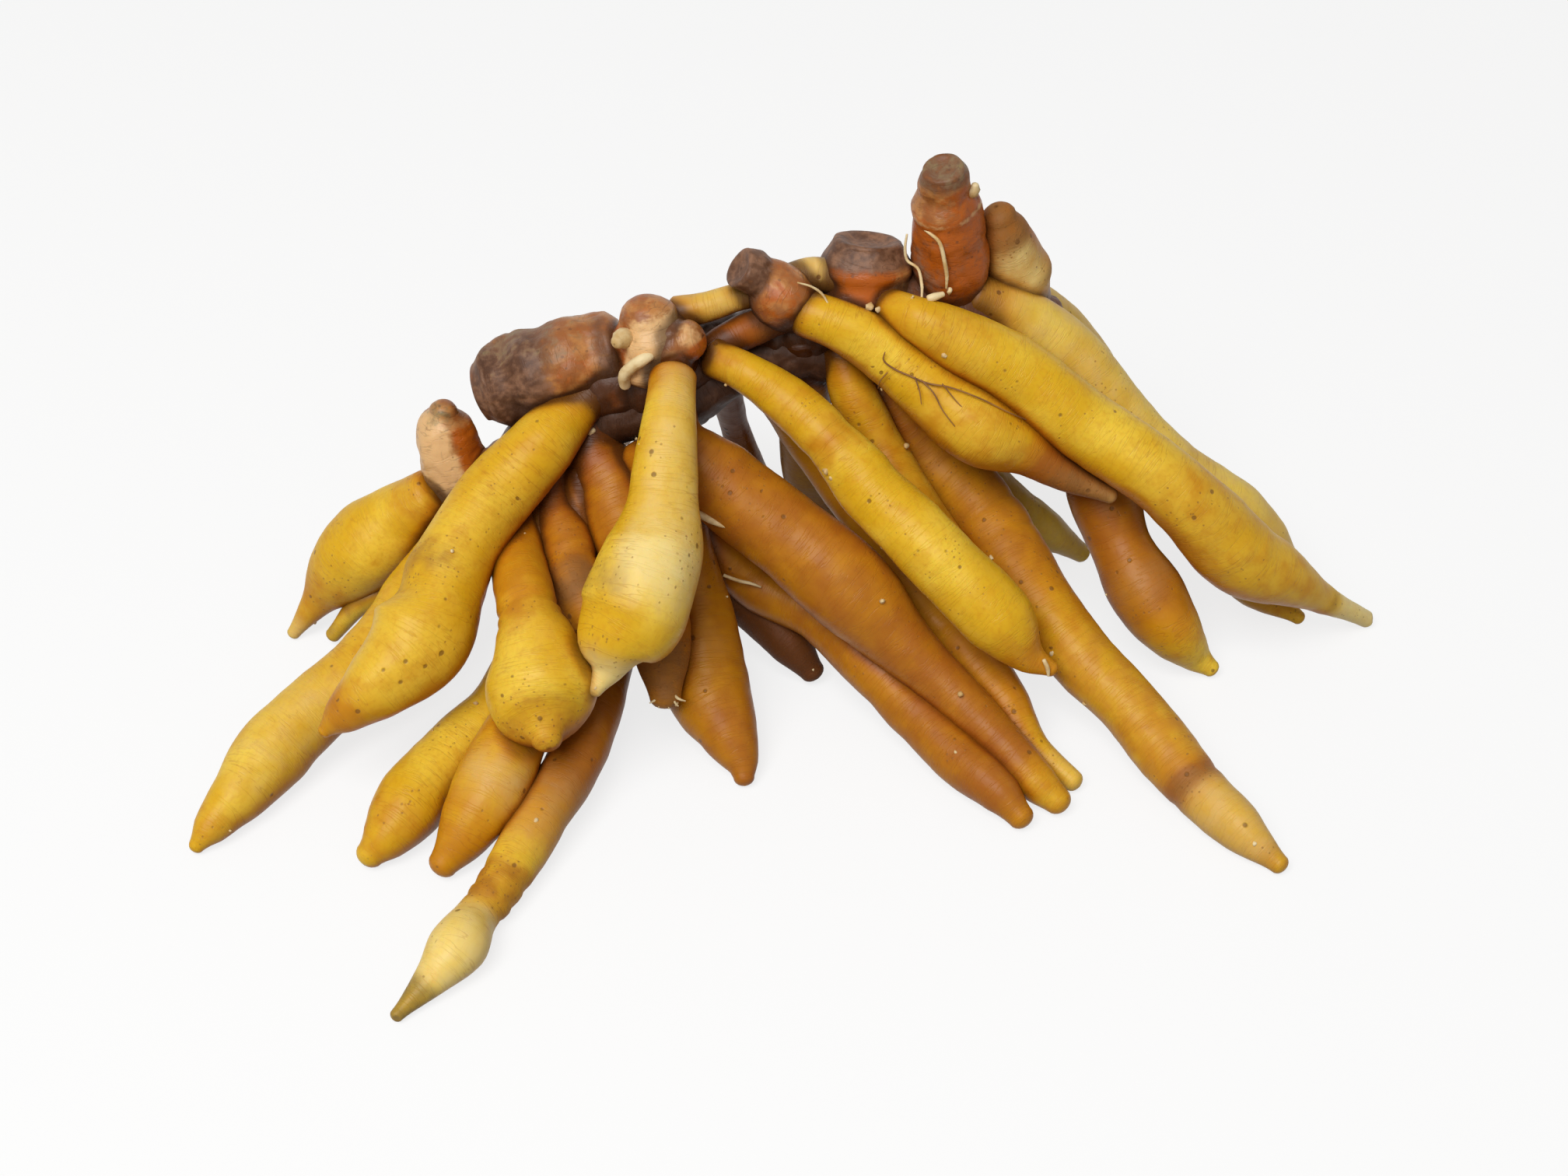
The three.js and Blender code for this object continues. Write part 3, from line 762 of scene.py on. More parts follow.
plan("stub_tall", STUB, [
    (19.5, 29.5, 50, 5.4), (19.7, 28.5, 58, 5.5), (19.3, 28.5, 64, 5.4), (18.5, 28, 69.6, 4.4),
    (18, 26.9, 73.4, 3.4), (17.8, 26.6, 74.4, 3),
], dents=[Dent(0.72, -0.3, 1.2), Dent(0.82, 0.3, 1.2), Dent(0.3, -0.4, 3, RIGHT)], marks=[
    tan(0, 0.66, 1.3, 1.6), scar(0, 0.35, 0.6, 2.5, LEFT + DOWN * 0.4), scar(0.1, 0.6, 0.3, 3),
    spot(pale, 0.70, 0.7, 0.8), tan(0.66, 0.9, 0.7, 1.6, FRONT + RIGHT), moss(0.97, 1, 0.5, 1.4),
    scar(0.97, 1, 0.8, 1.2), spot(pale, 0.84, 0.4, 2, FRONT + RIGHT),
    spot(scar, 0.8, 0.35, 2, LEFT + FRONT),
])
print("limbs so far:", len(limbs))

# %% [markdown]
# ## Fingers on the near left
# These reach forward and to the left. The front one lies over its neighbours and pinches in before a last
# swelling. The ball hangs from a ringed neck, and two low ones end in blunt tips on the surface. The tan
# tone turns a root or tip orange-brown, and tan marks that face down are painted shade. Pale marks are
# where the skin is thinnest.

# %% Left fingers
finger("front_left", [
    (-30.6, 17, 44.6, 2.2), (-34.9, 15, 41.2, 3.6), (-39.8, 10.5, 38.1, 4.8), (-45.7, 5.5, 33.2, 5.5),
    (-50.4, -1, 29.4, 5.5), (-53.7, -7.5, 25.5, 6.5), (-56.2, -14.2, 21.6, 7.1), (-61.8, -20, 18.5, 5),
    (-67.1, -23.2, 15.1, 2.7), (-69.2, -24.3, 13.6, 1),
], dents=[Dent(0.63, 1.3, 2.6, LEFT + UP * 0.3), Dent(0.72, -0.5, 4, LEFT)], marks=[
    spot(moss, 0.03, 0.8, 2), tan(0, 1, 0.16, 5), tan(0.95, 1, 0.5, 4),
    spot(scar, 0.56, 0.7, 4.5, LEFT + FRONT), spot(scar, 0.35, 0.35, 6, FRONT),
    # the tan spot facing down is painted shade
    spot(tan, 0.8, 0.3, 8, DOWN), spot(scar, 0.63, 0.6, 2, LEFT),
])
finger("far_left", [
    (-52.5, 15, 23, 3.5), (-58.5, 7.5, 15, 4.7), (-65.5, -5.5, 10.5, 5.1), (-72.7, -13, 7.8, 5.2),
    (-78.8, -20.2, 5.2, 5.4), (-82.4, -27.5, 3.7, 4), (-85.8, -33.1, 2.4, 2.3), (-87.3, -34.8, 1.2, 1.1),
], marks=[
    pale(0.6, 0.82, 0.36, 7.5, FRONT), tan(0.96, 1, 0.25, 4), tan(0, 0.5, 0.22, 12),
    # the tan facing down and right, away from the light, is painted shade
    tan(0.4, 0.9, 0.35, 6, DOWN + RIGHT),
])
finger("side_short", [
    (-57, 16, 25.6, 3.7), (-63.2, 16.8, 19.9, 5.4), (-68.6, 15.8, 15.2, 6.6), (-73.6, 14.5, 10, 5.3),
    (-77.6, 13, 5.5, 2.6), (-81.5, 11, 1, 1),
], marks=[tan(0, 0.08, 0.3, 4), tan(0.75, 0.9, 0.32, 6), pale(0.97, 1, 0.5, 3)])
finger("side_thin", [
    (-54, 13, 21, 2), (-61.5, 14, 8, 1.8), (-69.2, 11.8, 7.4, 1.8), (-75, 9.6, 1.8, 1.1),
], marks=[moss(0.3, 1, 0.45, 4)])
finger("ball", [
    (-38.5, 19.5, 36, 3.5), (-43.5, 13.5, 28, 3.5), (-44, 3.5, 25, 4), (-41.2, -10, 25, 4.3),
    (-39.3, -17, 23, 5.9), (-38.5, -21.5, 20, 7.8), (-38, -26, 18, 6.4), (-37.2, -29.7, 17.3, 2.1),
], dents=[Dent(0.655, 0.5, 0.8), Dent(0.69, 0.35, 0.7)], marks=[
    tan(0, 0.6, 0.45, 8), pale(0.78, 0.88, 0.22, 7.5, FRONT), scar(0.96, 1, 0.5, 2), tan(0.97, 1, 0.3, 2),
    scar(0.655, 0.69, 0.45, 0.8),
])
finger("ringed", [
    (-37.5, 18, 39, 3), (-39, 10.5, 29, 3.2), (-36.7, 4.5, 25, 3.8), (-34.5, -3, 22, 4),
    (-31.5, -8.5, 18, 3.6), (-29.5, -12, 15, 1.8),
], dents=[Dent(0.6, 0.35, 0.8)], marks=[
    tan(0, 1, 0.7, 7.5), spot(scar, 0.7, 1, 4, FRONT), scar(0, 1, 0.3, 5),
])
finger("low_left", [
    (-40.5, 15, 33, 3), (-40, 0, 18, 3.6), (-45.5, -10, 8.2, 3.8), (-51.8, -19.5, 5.2, 4.7),
    (-55.5, -26, 4.8, 5.1), (-58.1, -31.4, 4.5, 4.8), (-60.8, -35.6, 3.1, 3.3), (-62.4, -37.1, 2, 2.1),
# the tan facing down and right, away from the light, is painted shade
], marks=[tan(0, 0.3, 0.35, 8), tan(0.4, 1, 0.5, 6, DOWN + RIGHT), tan(0.92, 0.97, 0.3, 4)])
finger("low_second", [
    (-34.5, 13.5, 32, 3), (-36, -1, 16.5, 3.7), (-39.5, -12, 12, 4.1), (-43.1, -23, 10, 4.8),
    (-45.5, -29.2, 7.8, 5.6), (-47.5, -33.3, 6.2, 4.8), (-50, -37.1, 3.7, 3.2), (-51.9, -39.1, 2.2, 2.1),
], marks=[
    tan(0, 0.4, 0.4, 8), spot(pale, 0.80, 0.42, 5.5, FRONT), tan(0, 1, 0.35, 5), tan(0.95, 1, 0.4, 5),
])
print("limbs so far:", len(limbs))

# %% [markdown]
# ## Fingers under the middle
# The club hangs in front of all others: a long neck, a bulb, and a rough cream nib where the root was torn.
# Behind it are a drop, a long thick finger, one finger deep in the shade, and the lowest, whose far half is
# pinched by a brown ring before a pale bulb.

# %% Middle fingers
finger("club", [
    (-20.5, 13, 49, 3.5), (-20.5, 6, 47, 3.6), (-21, 0, 43, 4.4), (-21.5, -4.5, 39, 5.1),
    (-22.4, -9, 35, 6.7), (-24.3, -14.5, 31.2, 7.6), (-25.9, -17.5, 28.3, 7.4), (-28.2, -20.3, 25.8, 5.3),
    (-29.2, -22.3, 23, 2.3), (-30.8, -24, 21.2, 1.2),
], marks=[
    tan(0, 0.05, 0.43, 4.5), pale(0.1, 0.5, 0.45, 8, FRONT + RIGHT * 0.5),
    # the pale spot on the front of the bulb is thin pale skin with a painted highlight
    spot(pale, 0.63, 0.75, 6, FRONT + RIGHT * 0.5), spot(scar, 0.70, 0.75, 4.5, LEFT + FRONT * 0.3),
    pale(0.93, 1, 0.9, 2.5), spot(scar, 0.89, 0.5, 2), spot(scar, 0.97, 0.4, 1.2),
])
finger("behind_club", [
    (-32.5, 18.5, 39, 3.7), (-33, 15.5, 33.2, 4.9), (-30.2, 11.5, 29.2, 5.5), (-27, 4.5, 25, 5.3),
    (-23.5, -4.5, 22, 4.7), (-22.2, -10.5, 16, 4.2), (-21.6, -15.5, 12, 2.2),
], marks=[tan(0, 0.95, 0.8, 9), scar(0.88, 1, 0.9, 4)])
finger("front_low", [
    (-24.5, 16, 32.5, 4.2), (-25.5, 12.5, 19, 4), (-28.5, 5, 13, 4.2), (-30.9, -4, 10, 4.1),
    (-32.5, -14.5, 8, 4.2), (-35.2, -25.2, 6, 4.1), (-38.7, -33.2, 5, 3.7), (-41.7, -40, 3.6, 3.5),
    (-44.4, -46, 3, 3.1), (-46.3, -49.5, 2.8, 2.9), (-48, -55.5, 3.6, 3.9), (-50.5, -59.4, 2.7, 2.5),
    (-53.1, -62.5, 1.7, 1.45), (-55, -64.8, 1.1, 0.9),
], dents=[Dent(0.745, 0.25, 0.6), Dent(0.775, 0.3, 0.6), Dent(0.80, 0.2, 0.5)], marks=[
    tan(0, 0.56, 0.9, 12), scar(0.74, 0.80, 0.6, 1.6), tan(0.76, 0.80, 0.35, 3.5),
    pale(0.84, 0.93, 0.65, 3.8), moss(0.96, 1, 0.7, 2), pale(0.6, 0.68, 0.29, 6),
])
finger("drop", [
    (-24, 13.6, 37.2, 5.2), (-20, 7, 25, 4.2), (-18, 1.5, 16, 5.2), (-16.8, -5, 11, 6.2),
    (-15.5, -10, 7.4, 6.2), (-12.5, -15.8, 4.7, 4.2), (-10.6, -19.8, 2.5, 2.4), (-10.3, -21.5, 1.5, 1.5),
], marks=[tan(0, 1, 0.62, 6), tan(0.9, 1, 0.4, 6), spot(pale, 0.62, 0.2, 5, FRONT)])
# painted shade: this finger lies in deep shade, so it is made dark and tan all over
finger("shaded", [
    (-19.5, 11, 22, 3), (-15, 10.5, 13, 3.9), (-9.8, 8.6, 9, 3.8), (-3.5, 3, 5.8, 3.4),
    (-0.2, 0.8, 2.3, 1.9),
], marks=[tan(0, 1, 1, 7.5), scar(0, 1, 1, 5)], kind=SHADED_FINGER)
finger("thick", [
    (-21, 18.5, 43, 3.4), (-20.5, 11, 38.5, 4.6), (-13.5, 7.5, 33, 6), (-4.2, 2.5, 27.4, 6.2),
    (4.5, -2.5, 22, 6.6), (11.9, -7, 15.9, 4.9), (19.3, -12.5, 10.8, 3.7), (26.5, -19, 6.5, 3.4),
    (31.8, -24.4, 3.6, 3), (34.8, -26.8, 2.1, 2.1),
], marks=[tan(0, 0.88, 0.78, 6), spot(scar, 0.22, 0.35, 6, FRONT), tan(0.75, 1, 0.3, 7.5)])
finger("under_thick", [
    (-23, 14.5, 31, 3.5), (-15.5, 10, 21, 4), (-8.5, 7.5, 14, 4), (0.8, 2.1, 12.1, 3.9),
    (8.2, -5.6, 9.6, 4.1), (14.7, -12.6, 6.4, 4.1), (21.1, -20.2, 4.3, 3.9), (26.5, -26.7, 3.5, 3.1),
    (29.2, -29.8, 2, 2),
], marks=[tan(0, 0.95, 0.75, 6), tan(0.9, 1, 0.43, 6)])
print("limbs so far:", len(limbs))

# %% [markdown]
# ## Fingers on the near right
# The right-hand bunch fans out in layers. The front one is the brightest. The rod is the longest, wrinkled
# and brown near the crown and pale towards its tip, and the upper ones lie close together, the nearest with
# a long pale nib.

# %% Right fingers
finger("front_right", [
    (-15.5, 19, 48, 3), (-9.8, 15.5, 47.2, 2.9), (-3.9, 13, 43.9, 3.8), (2.1, 8.5, 40.5, 3.9),
    (7.6, 4, 35.2, 4.5), (14.1, -1, 31, 5), (20.8, -6, 25.8, 5.2), (26.9, -10, 21.2, 4.9),
    (31, -12.5, 17, 2.5), (34, -14, 16, 1.1),
], dents=[Dent(0.33, 0.4, 1.6, RIGHT), Dent(0.42, -0.3, 2.5, RIGHT)], marks=[
    tan(0, 0.2, 0.25, 9), spot(tan, 0.33, 0.3, 4, FRONT), tan(0.94, 1, 0.5, 4.5),
    spot(scar, 0.36, 0.3, 3, LEFT),
])
finger("beside_front_right", [
    (3.8, 25, 46, 2.8), (5.9, 21.2, 39.4, 3.6), (10.4, 17, 31.7, 3.7), (14.3, 11, 26.8, 4.2),
    (19.5, 7, 20, 4.2), (23.5, 5, 13, 2.5), (25.5, 4, 9.5, 1.2),
], marks=[tan(0, 0.4, 0.36, 9), tan(0.6, 1, 0.29, 7.5)])
finger("thin_right", [
    (-7, 24.5, 40, 3), (0.5, 22, 28, 3.4), (7.5, 16, 21, 3.4), (13, 11, 16, 3.4), (17.5, 3.5, 12, 3.7),
    (22.9, -3.5, 9.3, 4), (28.1, -10.9, 6.9, 3.6), (31.9, -17.2, 3.8, 2.4), (37.4, -22.3, 1.6, 1.6),
], dents=[Dent(0.62, 0.4, 1, FRONT)], marks=[tan(0, 0.8, 0.6, 9), pale(0.95, 1, 0.36, 3)])
finger("upper_middle", [
    (-2.7, 22.4, 53.4, 3.3), (4, 20.5, 51.7, 3.8), (11, 19, 48, 4.4), (18, 15.5, 43, 5),
    (24, 12.9, 39.3, 5.3), (30.7, 12.9, 35.6, 4.2), (36.5, 11.8, 31.9, 2.5), (44, 10, 29, 1.2),
], marks=[
    tan(0.85, 0.96, 1.4, 6), tan(0.45, 0.8, 0.22, 6), scar(0.86, 0.96, 1, 4),
    # the tan facing down is painted shade
    tan(0.1, 0.8, 0.4, 6, DOWN + LEFT * 0.3), pale(0.97, 1, 0.43, 4.5),
])
finger("rod", [
    (6, 26, 44, 3.5), (11, 25.5, 36, 4.5), (18, 23, 27, 5.3), (26, 15.5, 21, 5.6), (32.4, 4.5, 16.1, 5.2),
    (39.2, -5.6, 11.2, 5), (47, -14.8, 7.6, 4.5), (53.6, -24.6, 4.2, 4.3), (59.8, -33.3, 3.1, 3.4),
    (64.6, -38.4, 1.4, 1.4),
], dents=[Dent(0.27, 0.25, 0.7), Dent(0.33, 0.3, 0.8), Dent(0.38, 0.2, 0.6), Dent(0.84, 0.2, 0.8)], marks=[
    tan(0, 0.42, 0.55, 12), tan(0, 1, 0.34, 5), scar(0.2, 0.42, 0.35, 6), pale(0.6, 0.79, 0.2, 7),
    spot(tan, 0.84, 0.9, 2.6), spot(scar, 0.84, 0.8, 2.6, FRONT), pale(0.88, 0.96, 0.42, 5),
    moss(0.985, 1, 0.3, 1.5),
])
finger("mid_back", [
    (10, 30, 42, 3), (18.5, 28, 29, 3.5), (25, 28, 20.2, 4.2), (31.5, 27.8, 13.4, 3.6), (38, 28, 7.9, 3.1),
    (44, 30, 1.8, 1.5),
], marks=[tan(0, 0.2, 0.2, 6), pale(0.2, 0.8, 0.4, 6)])
finger("right_drop", [
    (26.5, 32, 43, 3), (34, 31.5, 34, 3.6), (41, 24.5, 28, 4.1), (44.5, 18.5, 22, 5.5), (47, 13.4, 17, 4.6),
    (50.9, 7.8, 11.8, 5.5), (54.9, 4.1, 7.4, 4.7), (58.8, 3.2, 3, 2.6), (61.2, 2.2, 1.5, 1.3),
], marks=[tan(0, 0.75, 0.8, 8), spot(pale, 0.72, 0.25, 6, FRONT)])
finger("upper_right", [
    (9.5, 26, 52.5, 3), (14.5, 19.5, 54, 3.3), (20.5, 18.5, 51, 4.5), (30.4, 17.1, 45.2, 5.2),
    (40.4, 13.8, 38.5, 5.3), (50, 10, 33.2, 5.1), (57.3, 8.2, 27, 5.6), (64, 7.6, 19.6, 6.1),
    (71, 8.2, 15.1, 4.6), (77.8, 9.8, 9.6, 2.5), (87.4, 14, 1.3, 1.3),
], marks=[
    # the tan facing down and left is painted shade on the underside
    tan(0, 0.12, 0.25, 9), tan(0.15, 0.9, 0.5, 7, DOWN + LEFT * 0.5), tan(0.55, 0.86, 0.22, 8),
    pale(0.93, 1, 0.95, 3.5), spot(scar, 0.885, 0.7, 1.6, FRONT), spot(scar, 0.6, 0.3, 4, LEFT),
])
finger("upper_right_second", [
    (22, 27.5, 53, 3.5), (29.5, 28.5, 49, 4.3), (38, 28.5, 42, 4.9), (46.1, 25.5, 32.1, 5.2),
    (55.1, 22, 24.1, 5), (63.6, 21.5, 17.7, 5.5), (70.5, 21.4, 11.4, 4.5), (76.5, 22, 5, 2),
], marks=[tan(0, 0.06, 0.25, 4.5), pale(0.1, 0.9, 0.42, 9)])
finger("upper_right_back", [
    (34, 34.2, 43, 3.2), (40.9, 36, 34, 4.3), (48.4, 34, 25, 4.9), (57.2, 30, 17.7, 4.9),
    (65.7, 29, 12, 5.1), (72.3, 28.5, 6.7, 4.1), (77.5, 27.5, 1.6, 1.9),
], marks=[tan(0, 0.1, 0.29, 7.5), pale(0.2, 0.8, 0.35, 9)])
finger("under_upper_right", [
    (42, 34, 33, 3.2), (50, 34, 21, 3.8), (57, 32, 13, 4), (64.5, 26.5, 7.5, 4), (71, 19, 3.6, 3.4),
    (76.8, 14.3, 1.4, 1.2),
], marks=[tan(0, 0.9, 0.36, 9), scar(0.96, 1, 0.4, 2)])
print("limbs so far:", len(limbs))

# %% [markdown]
# ## Fingers on the far side
# Every side of a clump carries roots, and these prop it up behind. Two dim olive ones can be glimpsed
# between the near fingers, and wear a darker copy of the skin as painted shade. The others are simple full
# fingers of varied length and girth.

# %% Back fingers
finger("slim", [
    (-14, 23, 44, 2.5), (-12.5, 33.5, 26, 2.2), (-10.5, 36, 16, 2.5), (-7.5, 38.5, 8, 2.1),
    (-5.5, 40, 1.5, 1.1),
], marks=[tan(0, 1, 0.4, 5)], kind=SHADED_BACK_FINGER)
finger("olive", [
    (-2, 24.5, 48, 2.8), (-1, 27.5, 38, 3.1), (-0.6, 31, 24, 4.6), (1.2, 33.5, 13, 4.9),
    (5.5, 34.5, 4.5, 3.2), (6.5, 35, 1.5, 1.5),
], marks=[moss(0, 1, 0.3, 5)], kind=SHADED_BACK_FINGER)
finger("back_far_left", [
    (-36, 23, 41, 3.4), (-38.5, 33, 34, 4.6), (-41, 43, 22, 5.4), (-43, 49, 11, 5), (-45, 52, 3.4, 3),
    (-46, 53, 0.6, 1.8),
], marks=[tan(0, 0.2, 0.43, 7.5), spot(scar, 0.5, 0.4, 5, LEFT)])
finger("back_left_long", [
    (-20, 24, 45, 3.4), (-24, 37, 38, 4.4), (-29, 50, 27, 5.2), (-32.5, 58.5, 15, 5.4),
    (-33.5, 62.5, 4.6, 4), (-33.5, 64, 0.6, 2.2),
], dents=[Dent(0.55, 0.4, 1.5)], marks=[
    tan(0, 0.15, 0.43, 7.5), pale(0.6, 0.8, 0.29, 7.5), tan(0.95, 1, 0.43, 4.5),
])
finger("back_left_short", [
    (-14, 24, 45, 3), (-17, 34, 40, 3.8), (-21, 42, 31, 4.4), (-23, 46, 21, 4), (-24, 47.5, 13, 1.6),
], marks=[tan(0, 0.3, 0.36, 6), tan(0.92, 1, 0.58, 4.5)])
finger("back_middle", [
    (5.5, 30, 48, 3.5), (8, 43, 40, 4.8), (12.5, 54, 26, 6), (13, 60, 12, 5.6), (12, 62.5, 3.6, 3.2),
    (12, 63, 0.6, 2),
], marks=[tan(0, 0.15, 0.43, 7.5), spot(scar, 0.35, 0.4, 5, UP)])
finger("back_middle_short", [
    (15, 33, 48, 3), (19, 43, 43, 4), (23.5, 51, 33, 4.8), (26, 55, 22, 4.2), (27.5, 56.5, 13.5, 1.6),
], marks=[tan(0, 0.2, 0.36, 6), tan(0.9, 1, 0.58, 4.5)])
finger("back_right", [
    (26, 34, 47, 3.5), (32, 45, 40, 4.6), (41, 54, 27, 5.6), (48, 58, 14, 5.2), (51, 60, 3.8, 3.2),
    (52, 61, 0.6, 2),
], marks=[tan(0, 0.15, 0.43, 7.5), pale(0.5, 0.7, 0.25, 9)])
print("limbs so far:", len(limbs))

# %% [markdown]
# ## Rootlets and hairs
# Fine white rootlets still cling to the tall stub, a curled cream one and a white bud sit on the knob, and
# a dark branching hair lies over the upper middle finger. They are limbs too, only far thinner, with no
# relief. Each lies just proud of the skin that it clings to.

# %% Pale rootlets
plan("rootlet_tall_left", ROOTLET, [
    (13.2, 26.4, 63.8, 0.16), (13, 26.2, 61.4, 0.22), (13.4, 26, 59.6, 0.23), (14.9, 25.2, 58.8, 0.23),
    (15.5, 24, 56.8, 0.25), (15.4, 21.4, 56.4, 0.17),
])
plan("rootlet_tall_front", ROOTLET, [
    (14.6, 26.6, 65.2, 0.17), (16.3, 23.9, 65.4, 0.23), (17.6, 22.9, 64.6, 0.28), (18.5, 22.2, 61.6, 0.31),
    (18.9, 22, 59.4, 0.28), (18.9, 21.8, 57.6, 0.16),
])
plan("rootlet_stump", ROOTLET, [(16, 19.8, 57, 0.5), (17, 20, 57.2, 0.62), (18.3, 20.6, 57.3, 0.42)])
plan("rootlet_wide_side", ROOTLET, [
    (12, 24, 54.6, 0.16), (12.6, 21.8, 55.2, 0.23), (13.6, 20, 56.4, 0.27), (14, 19.6, 57.6, 0.16),
])
plan("rootlet_small_stub", ROOTLET, [
    (-2.6, 20.4, 59.4, 0.12), (-0.6, 20.6, 58.6, 0.17), (1, 20.8, 57.2, 0.19), (2, 20.2, 55.6, 0.12),
])
plan("rootlet_knob_bud", ROOTLET, [
    (-26.4, 16, 53.2, 1.2), (-27.6, 14.4, 53.8, 1.55), (-28.2, 13.4, 53.9, 1),
])
plan("rootlet_knob_curl", ROOTLET, [
    (-23.2, 12.6, 52.2, 0.6), (-24.6, 11.9, 51.9, 0.9), (-26.2, 12, 50.6, 0.92), (-27.4, 12.4, 48.8, 0.92),
    (-27.4, 12.9, 46.9, 0.85),
], marks=[spot(scar, 0.5, 0.6, 0.4)])
plan("rootlet_tall_lump", ROOTLET, [
    (21.6, 27.4, 69.6, 0.7), (22.5, 26.9, 70.6, 0.95), (22.6, 26.8, 71.4, 0.6),
])
plan("rootlet_club_side", ROOTLET, [
    (-17.2, 2.2, 31.9, 0.5), (-15.4, 1.5, 31.2, 0.55), (-13.6, 0.6, 30.8, 0.34), (-12.6, 0.2, 30.6, 0.12),
])
plan("rootlet_drop_fibre", ROOTLET, [
    (-13.6, 4.4, 18.3, 0.26), (-11.3, 3.9, 17.6, 0.28), (-9.4, 3.6, 17.3, 0.24), (-8, 3.4, 16.8, 0.14),
])
plan("rootlet_front_right_tip", ROOTLET, [
    (32.6, -14.6, 18.4, 0.3), (33.2, -15.2, 17.2, 0.34), (33.4, -15.4, 16, 0.2),
])

# %% Dark hairs
plan("hair_long", HAIR, [
    (10, 14.9, 51.2, 0.1), (9.8, 14.6, 50, 0.12), (11.4, 14.1, 48.8, 0.14), (13.5, 13.3, 48.2, 0.14),
    (16.1, 12.4, 47.5, 0.14), (19.3, 12.1, 47, 0.13), (23.6, 11.4, 45.6, 0.12), (28, 11.4, 43.1, 0.11),
    (30.9, 12.1, 41.2, 0.08),
])
plan("hair_branch", HAIR, [
    (15.2, 12.8, 47.8, 0.12), (17, 11.2, 46.6, 0.11), (18.3, 9.8, 44.6, 0.11), (20.1, 8.9, 42.4, 0.07),
])
plan("hair_short", HAIR, [(14.3, 12.7, 48.4, 0.11), (15, 11.6, 46.6, 0.1), (15.3, 11, 44.8, 0.07)])
plan("hair_left", HAIR, [(10.4, 13.5, 48.6, 0.11), (9.4, 14, 46.8, 0.09), (9.2, 15, 44.8, 0.06)])
plan("hair_fork", HAIR, [(18.2, 12, 47.7, 0.1), (20.6, 10.6, 45.2, 0.09), (23, 9.6, 43.2, 0.06)])

# %% Tuft on a torn tip
TUFT_ROOT = Vector((-21.4, -16.2, 12.4))
TUFT_ENDS = ((-1.6, -1), (-0.8, -1.9), (0.2, -2.1), (1.1, -1.6), (1.8, -0.6))  # how far across and up
for number, (across, rise) in enumerate(TUFT_ENDS, start=1):
    root = TUFT_ROOT + Vector((across * 0.5, 0, 0.8))
    middle = root + Vector((across * 0.5, -0.8, rise * 0.5))
    tip = root + Vector((across, -0.9, rise))
    plan(f"hair_nubbly_{number}", ROOTLET, [(*root, 0.26), (*middle, 0.2), (*tip, 0.1)])
print("limbs so far:", len(limbs))

# %% [markdown]
# ## Painted shade, and growing every limb
# The creases between fingers, and skin with many neighbours close by, are darkened with painted shade.
# An ambient occlusion node would find creases too, but it is lost when materials are baked. Every limb is
# a row of balls along its path, so the gap from a point of skin to its nearest neighbour is soon found.
# Small gaps, and many neighbours close by, give more painted shade.

# %% Gaps between limbs
BALL_STEP = 2.5
CREASE = 1.3  # a gap that still counts as a crease
NEAR = 5.5  # a gap at which a neighbour still adds some painted shade
SHARPEST_CREASE_SHADE = 0.66  # painted shade in the sharpest crease
LOOSE_CROWD = 1.6  # near neighbours that add no painted shade yet
CROWD_SHADE = 0.12  # painted shade that each further one adds
NOWHERE_NEAR = 99.0  # stands for any gap too wide to matter
Row = namedtuple("Row", "name centres radii")


def row_of_balls(limb):
    rings, _ = rings_along(limb.stations, BALL_STEP, ())
    return Row(limb.name, np.array([r.point for r in rings]), np.array([r.radius for r in rings]))


rows = [row_of_balls(limb) for limb in limbs if limb.kind.relief]


def gap_to(points, row):
    """How far each point is from a row of balls, or NOWHERE_NEAR where the row is."""
    low, high = points.min(axis=0) - NEAR * 2, points.max(axis=0) + NEAR * 2
    reach = row.radii[:, None]
    close = np.all((row.centres + reach > low) & (row.centres - reach < high), axis=1)
    gap = np.full(len(points), NOWHERE_NEAR)
    for centre, radius in zip(row.centres[close], row.radii[close]):
        gap = np.minimum(gap, np.linalg.norm(points - centre, axis=1) - radius)
    return np.maximum(gap, 0)


def paint_shade(mesh, name, least):
    points = np.empty(len(mesh.vertices) * 3)
    mesh.vertices.foreach_get("co", points)
    points = points.reshape(-1, 3) / MM
    gaps = [gap_to(points, row) for row in rows if row.name != name]
    crease = np.exp(-((np.min(gaps, axis=0) / CREASE) ** 2))
    crowd = np.sum([np.exp(-((gap / NEAR) ** 2)) for gap in gaps], axis=0)
    crowded = np.maximum(crowd - LOOSE_CROWD, 0)
    # painted shade from creases and crowding, never below the kind's least
    shelter = np.clip(crease * SHARPEST_CREASE_SHADE + crowded * CROWD_SHADE, least, 1)
    mesh.attributes.new("shelter", "FLOAT", "POINT").data.foreach_set("value", shelter)
    return float(shelter.mean())


# %% Grow every limb
def grow(limb, number):
    kind = limb.kind
    rings, length = rings_along(limb.stations, kind.spacing, kind.end)
    bm = bmesh.new()
    straight_tube(bm, kind.sides, len(rings))
    bend_and_paint(bm, rings, length, kind, PATTERN_SHIFT * number, limb.dents, limb.marks)
    piece = finish_piece(bm, limb.name, kind)
    return paint_shade(piece.data, limb.name, kind.least_shelter)


painted_shades = [grow(limb, number) for number, limb in enumerate(limbs)]
print("grew", len(limbs), "limbs, with a mean shelter of", round(sum(painted_shades) / len(painted_shades), 2))

# %% [markdown]
# ## Crumbs
# Flakes of torn skin and dry soil stick to any dug root. A particle system would scatter them, but it is
# not kept when the model is exported. So each is a small round lump made uneven by noise, and all of them
# are one piece. The larger ones lie where rootlets broke off, and the rest fall on points of skin drawn
# with a fixed seed.

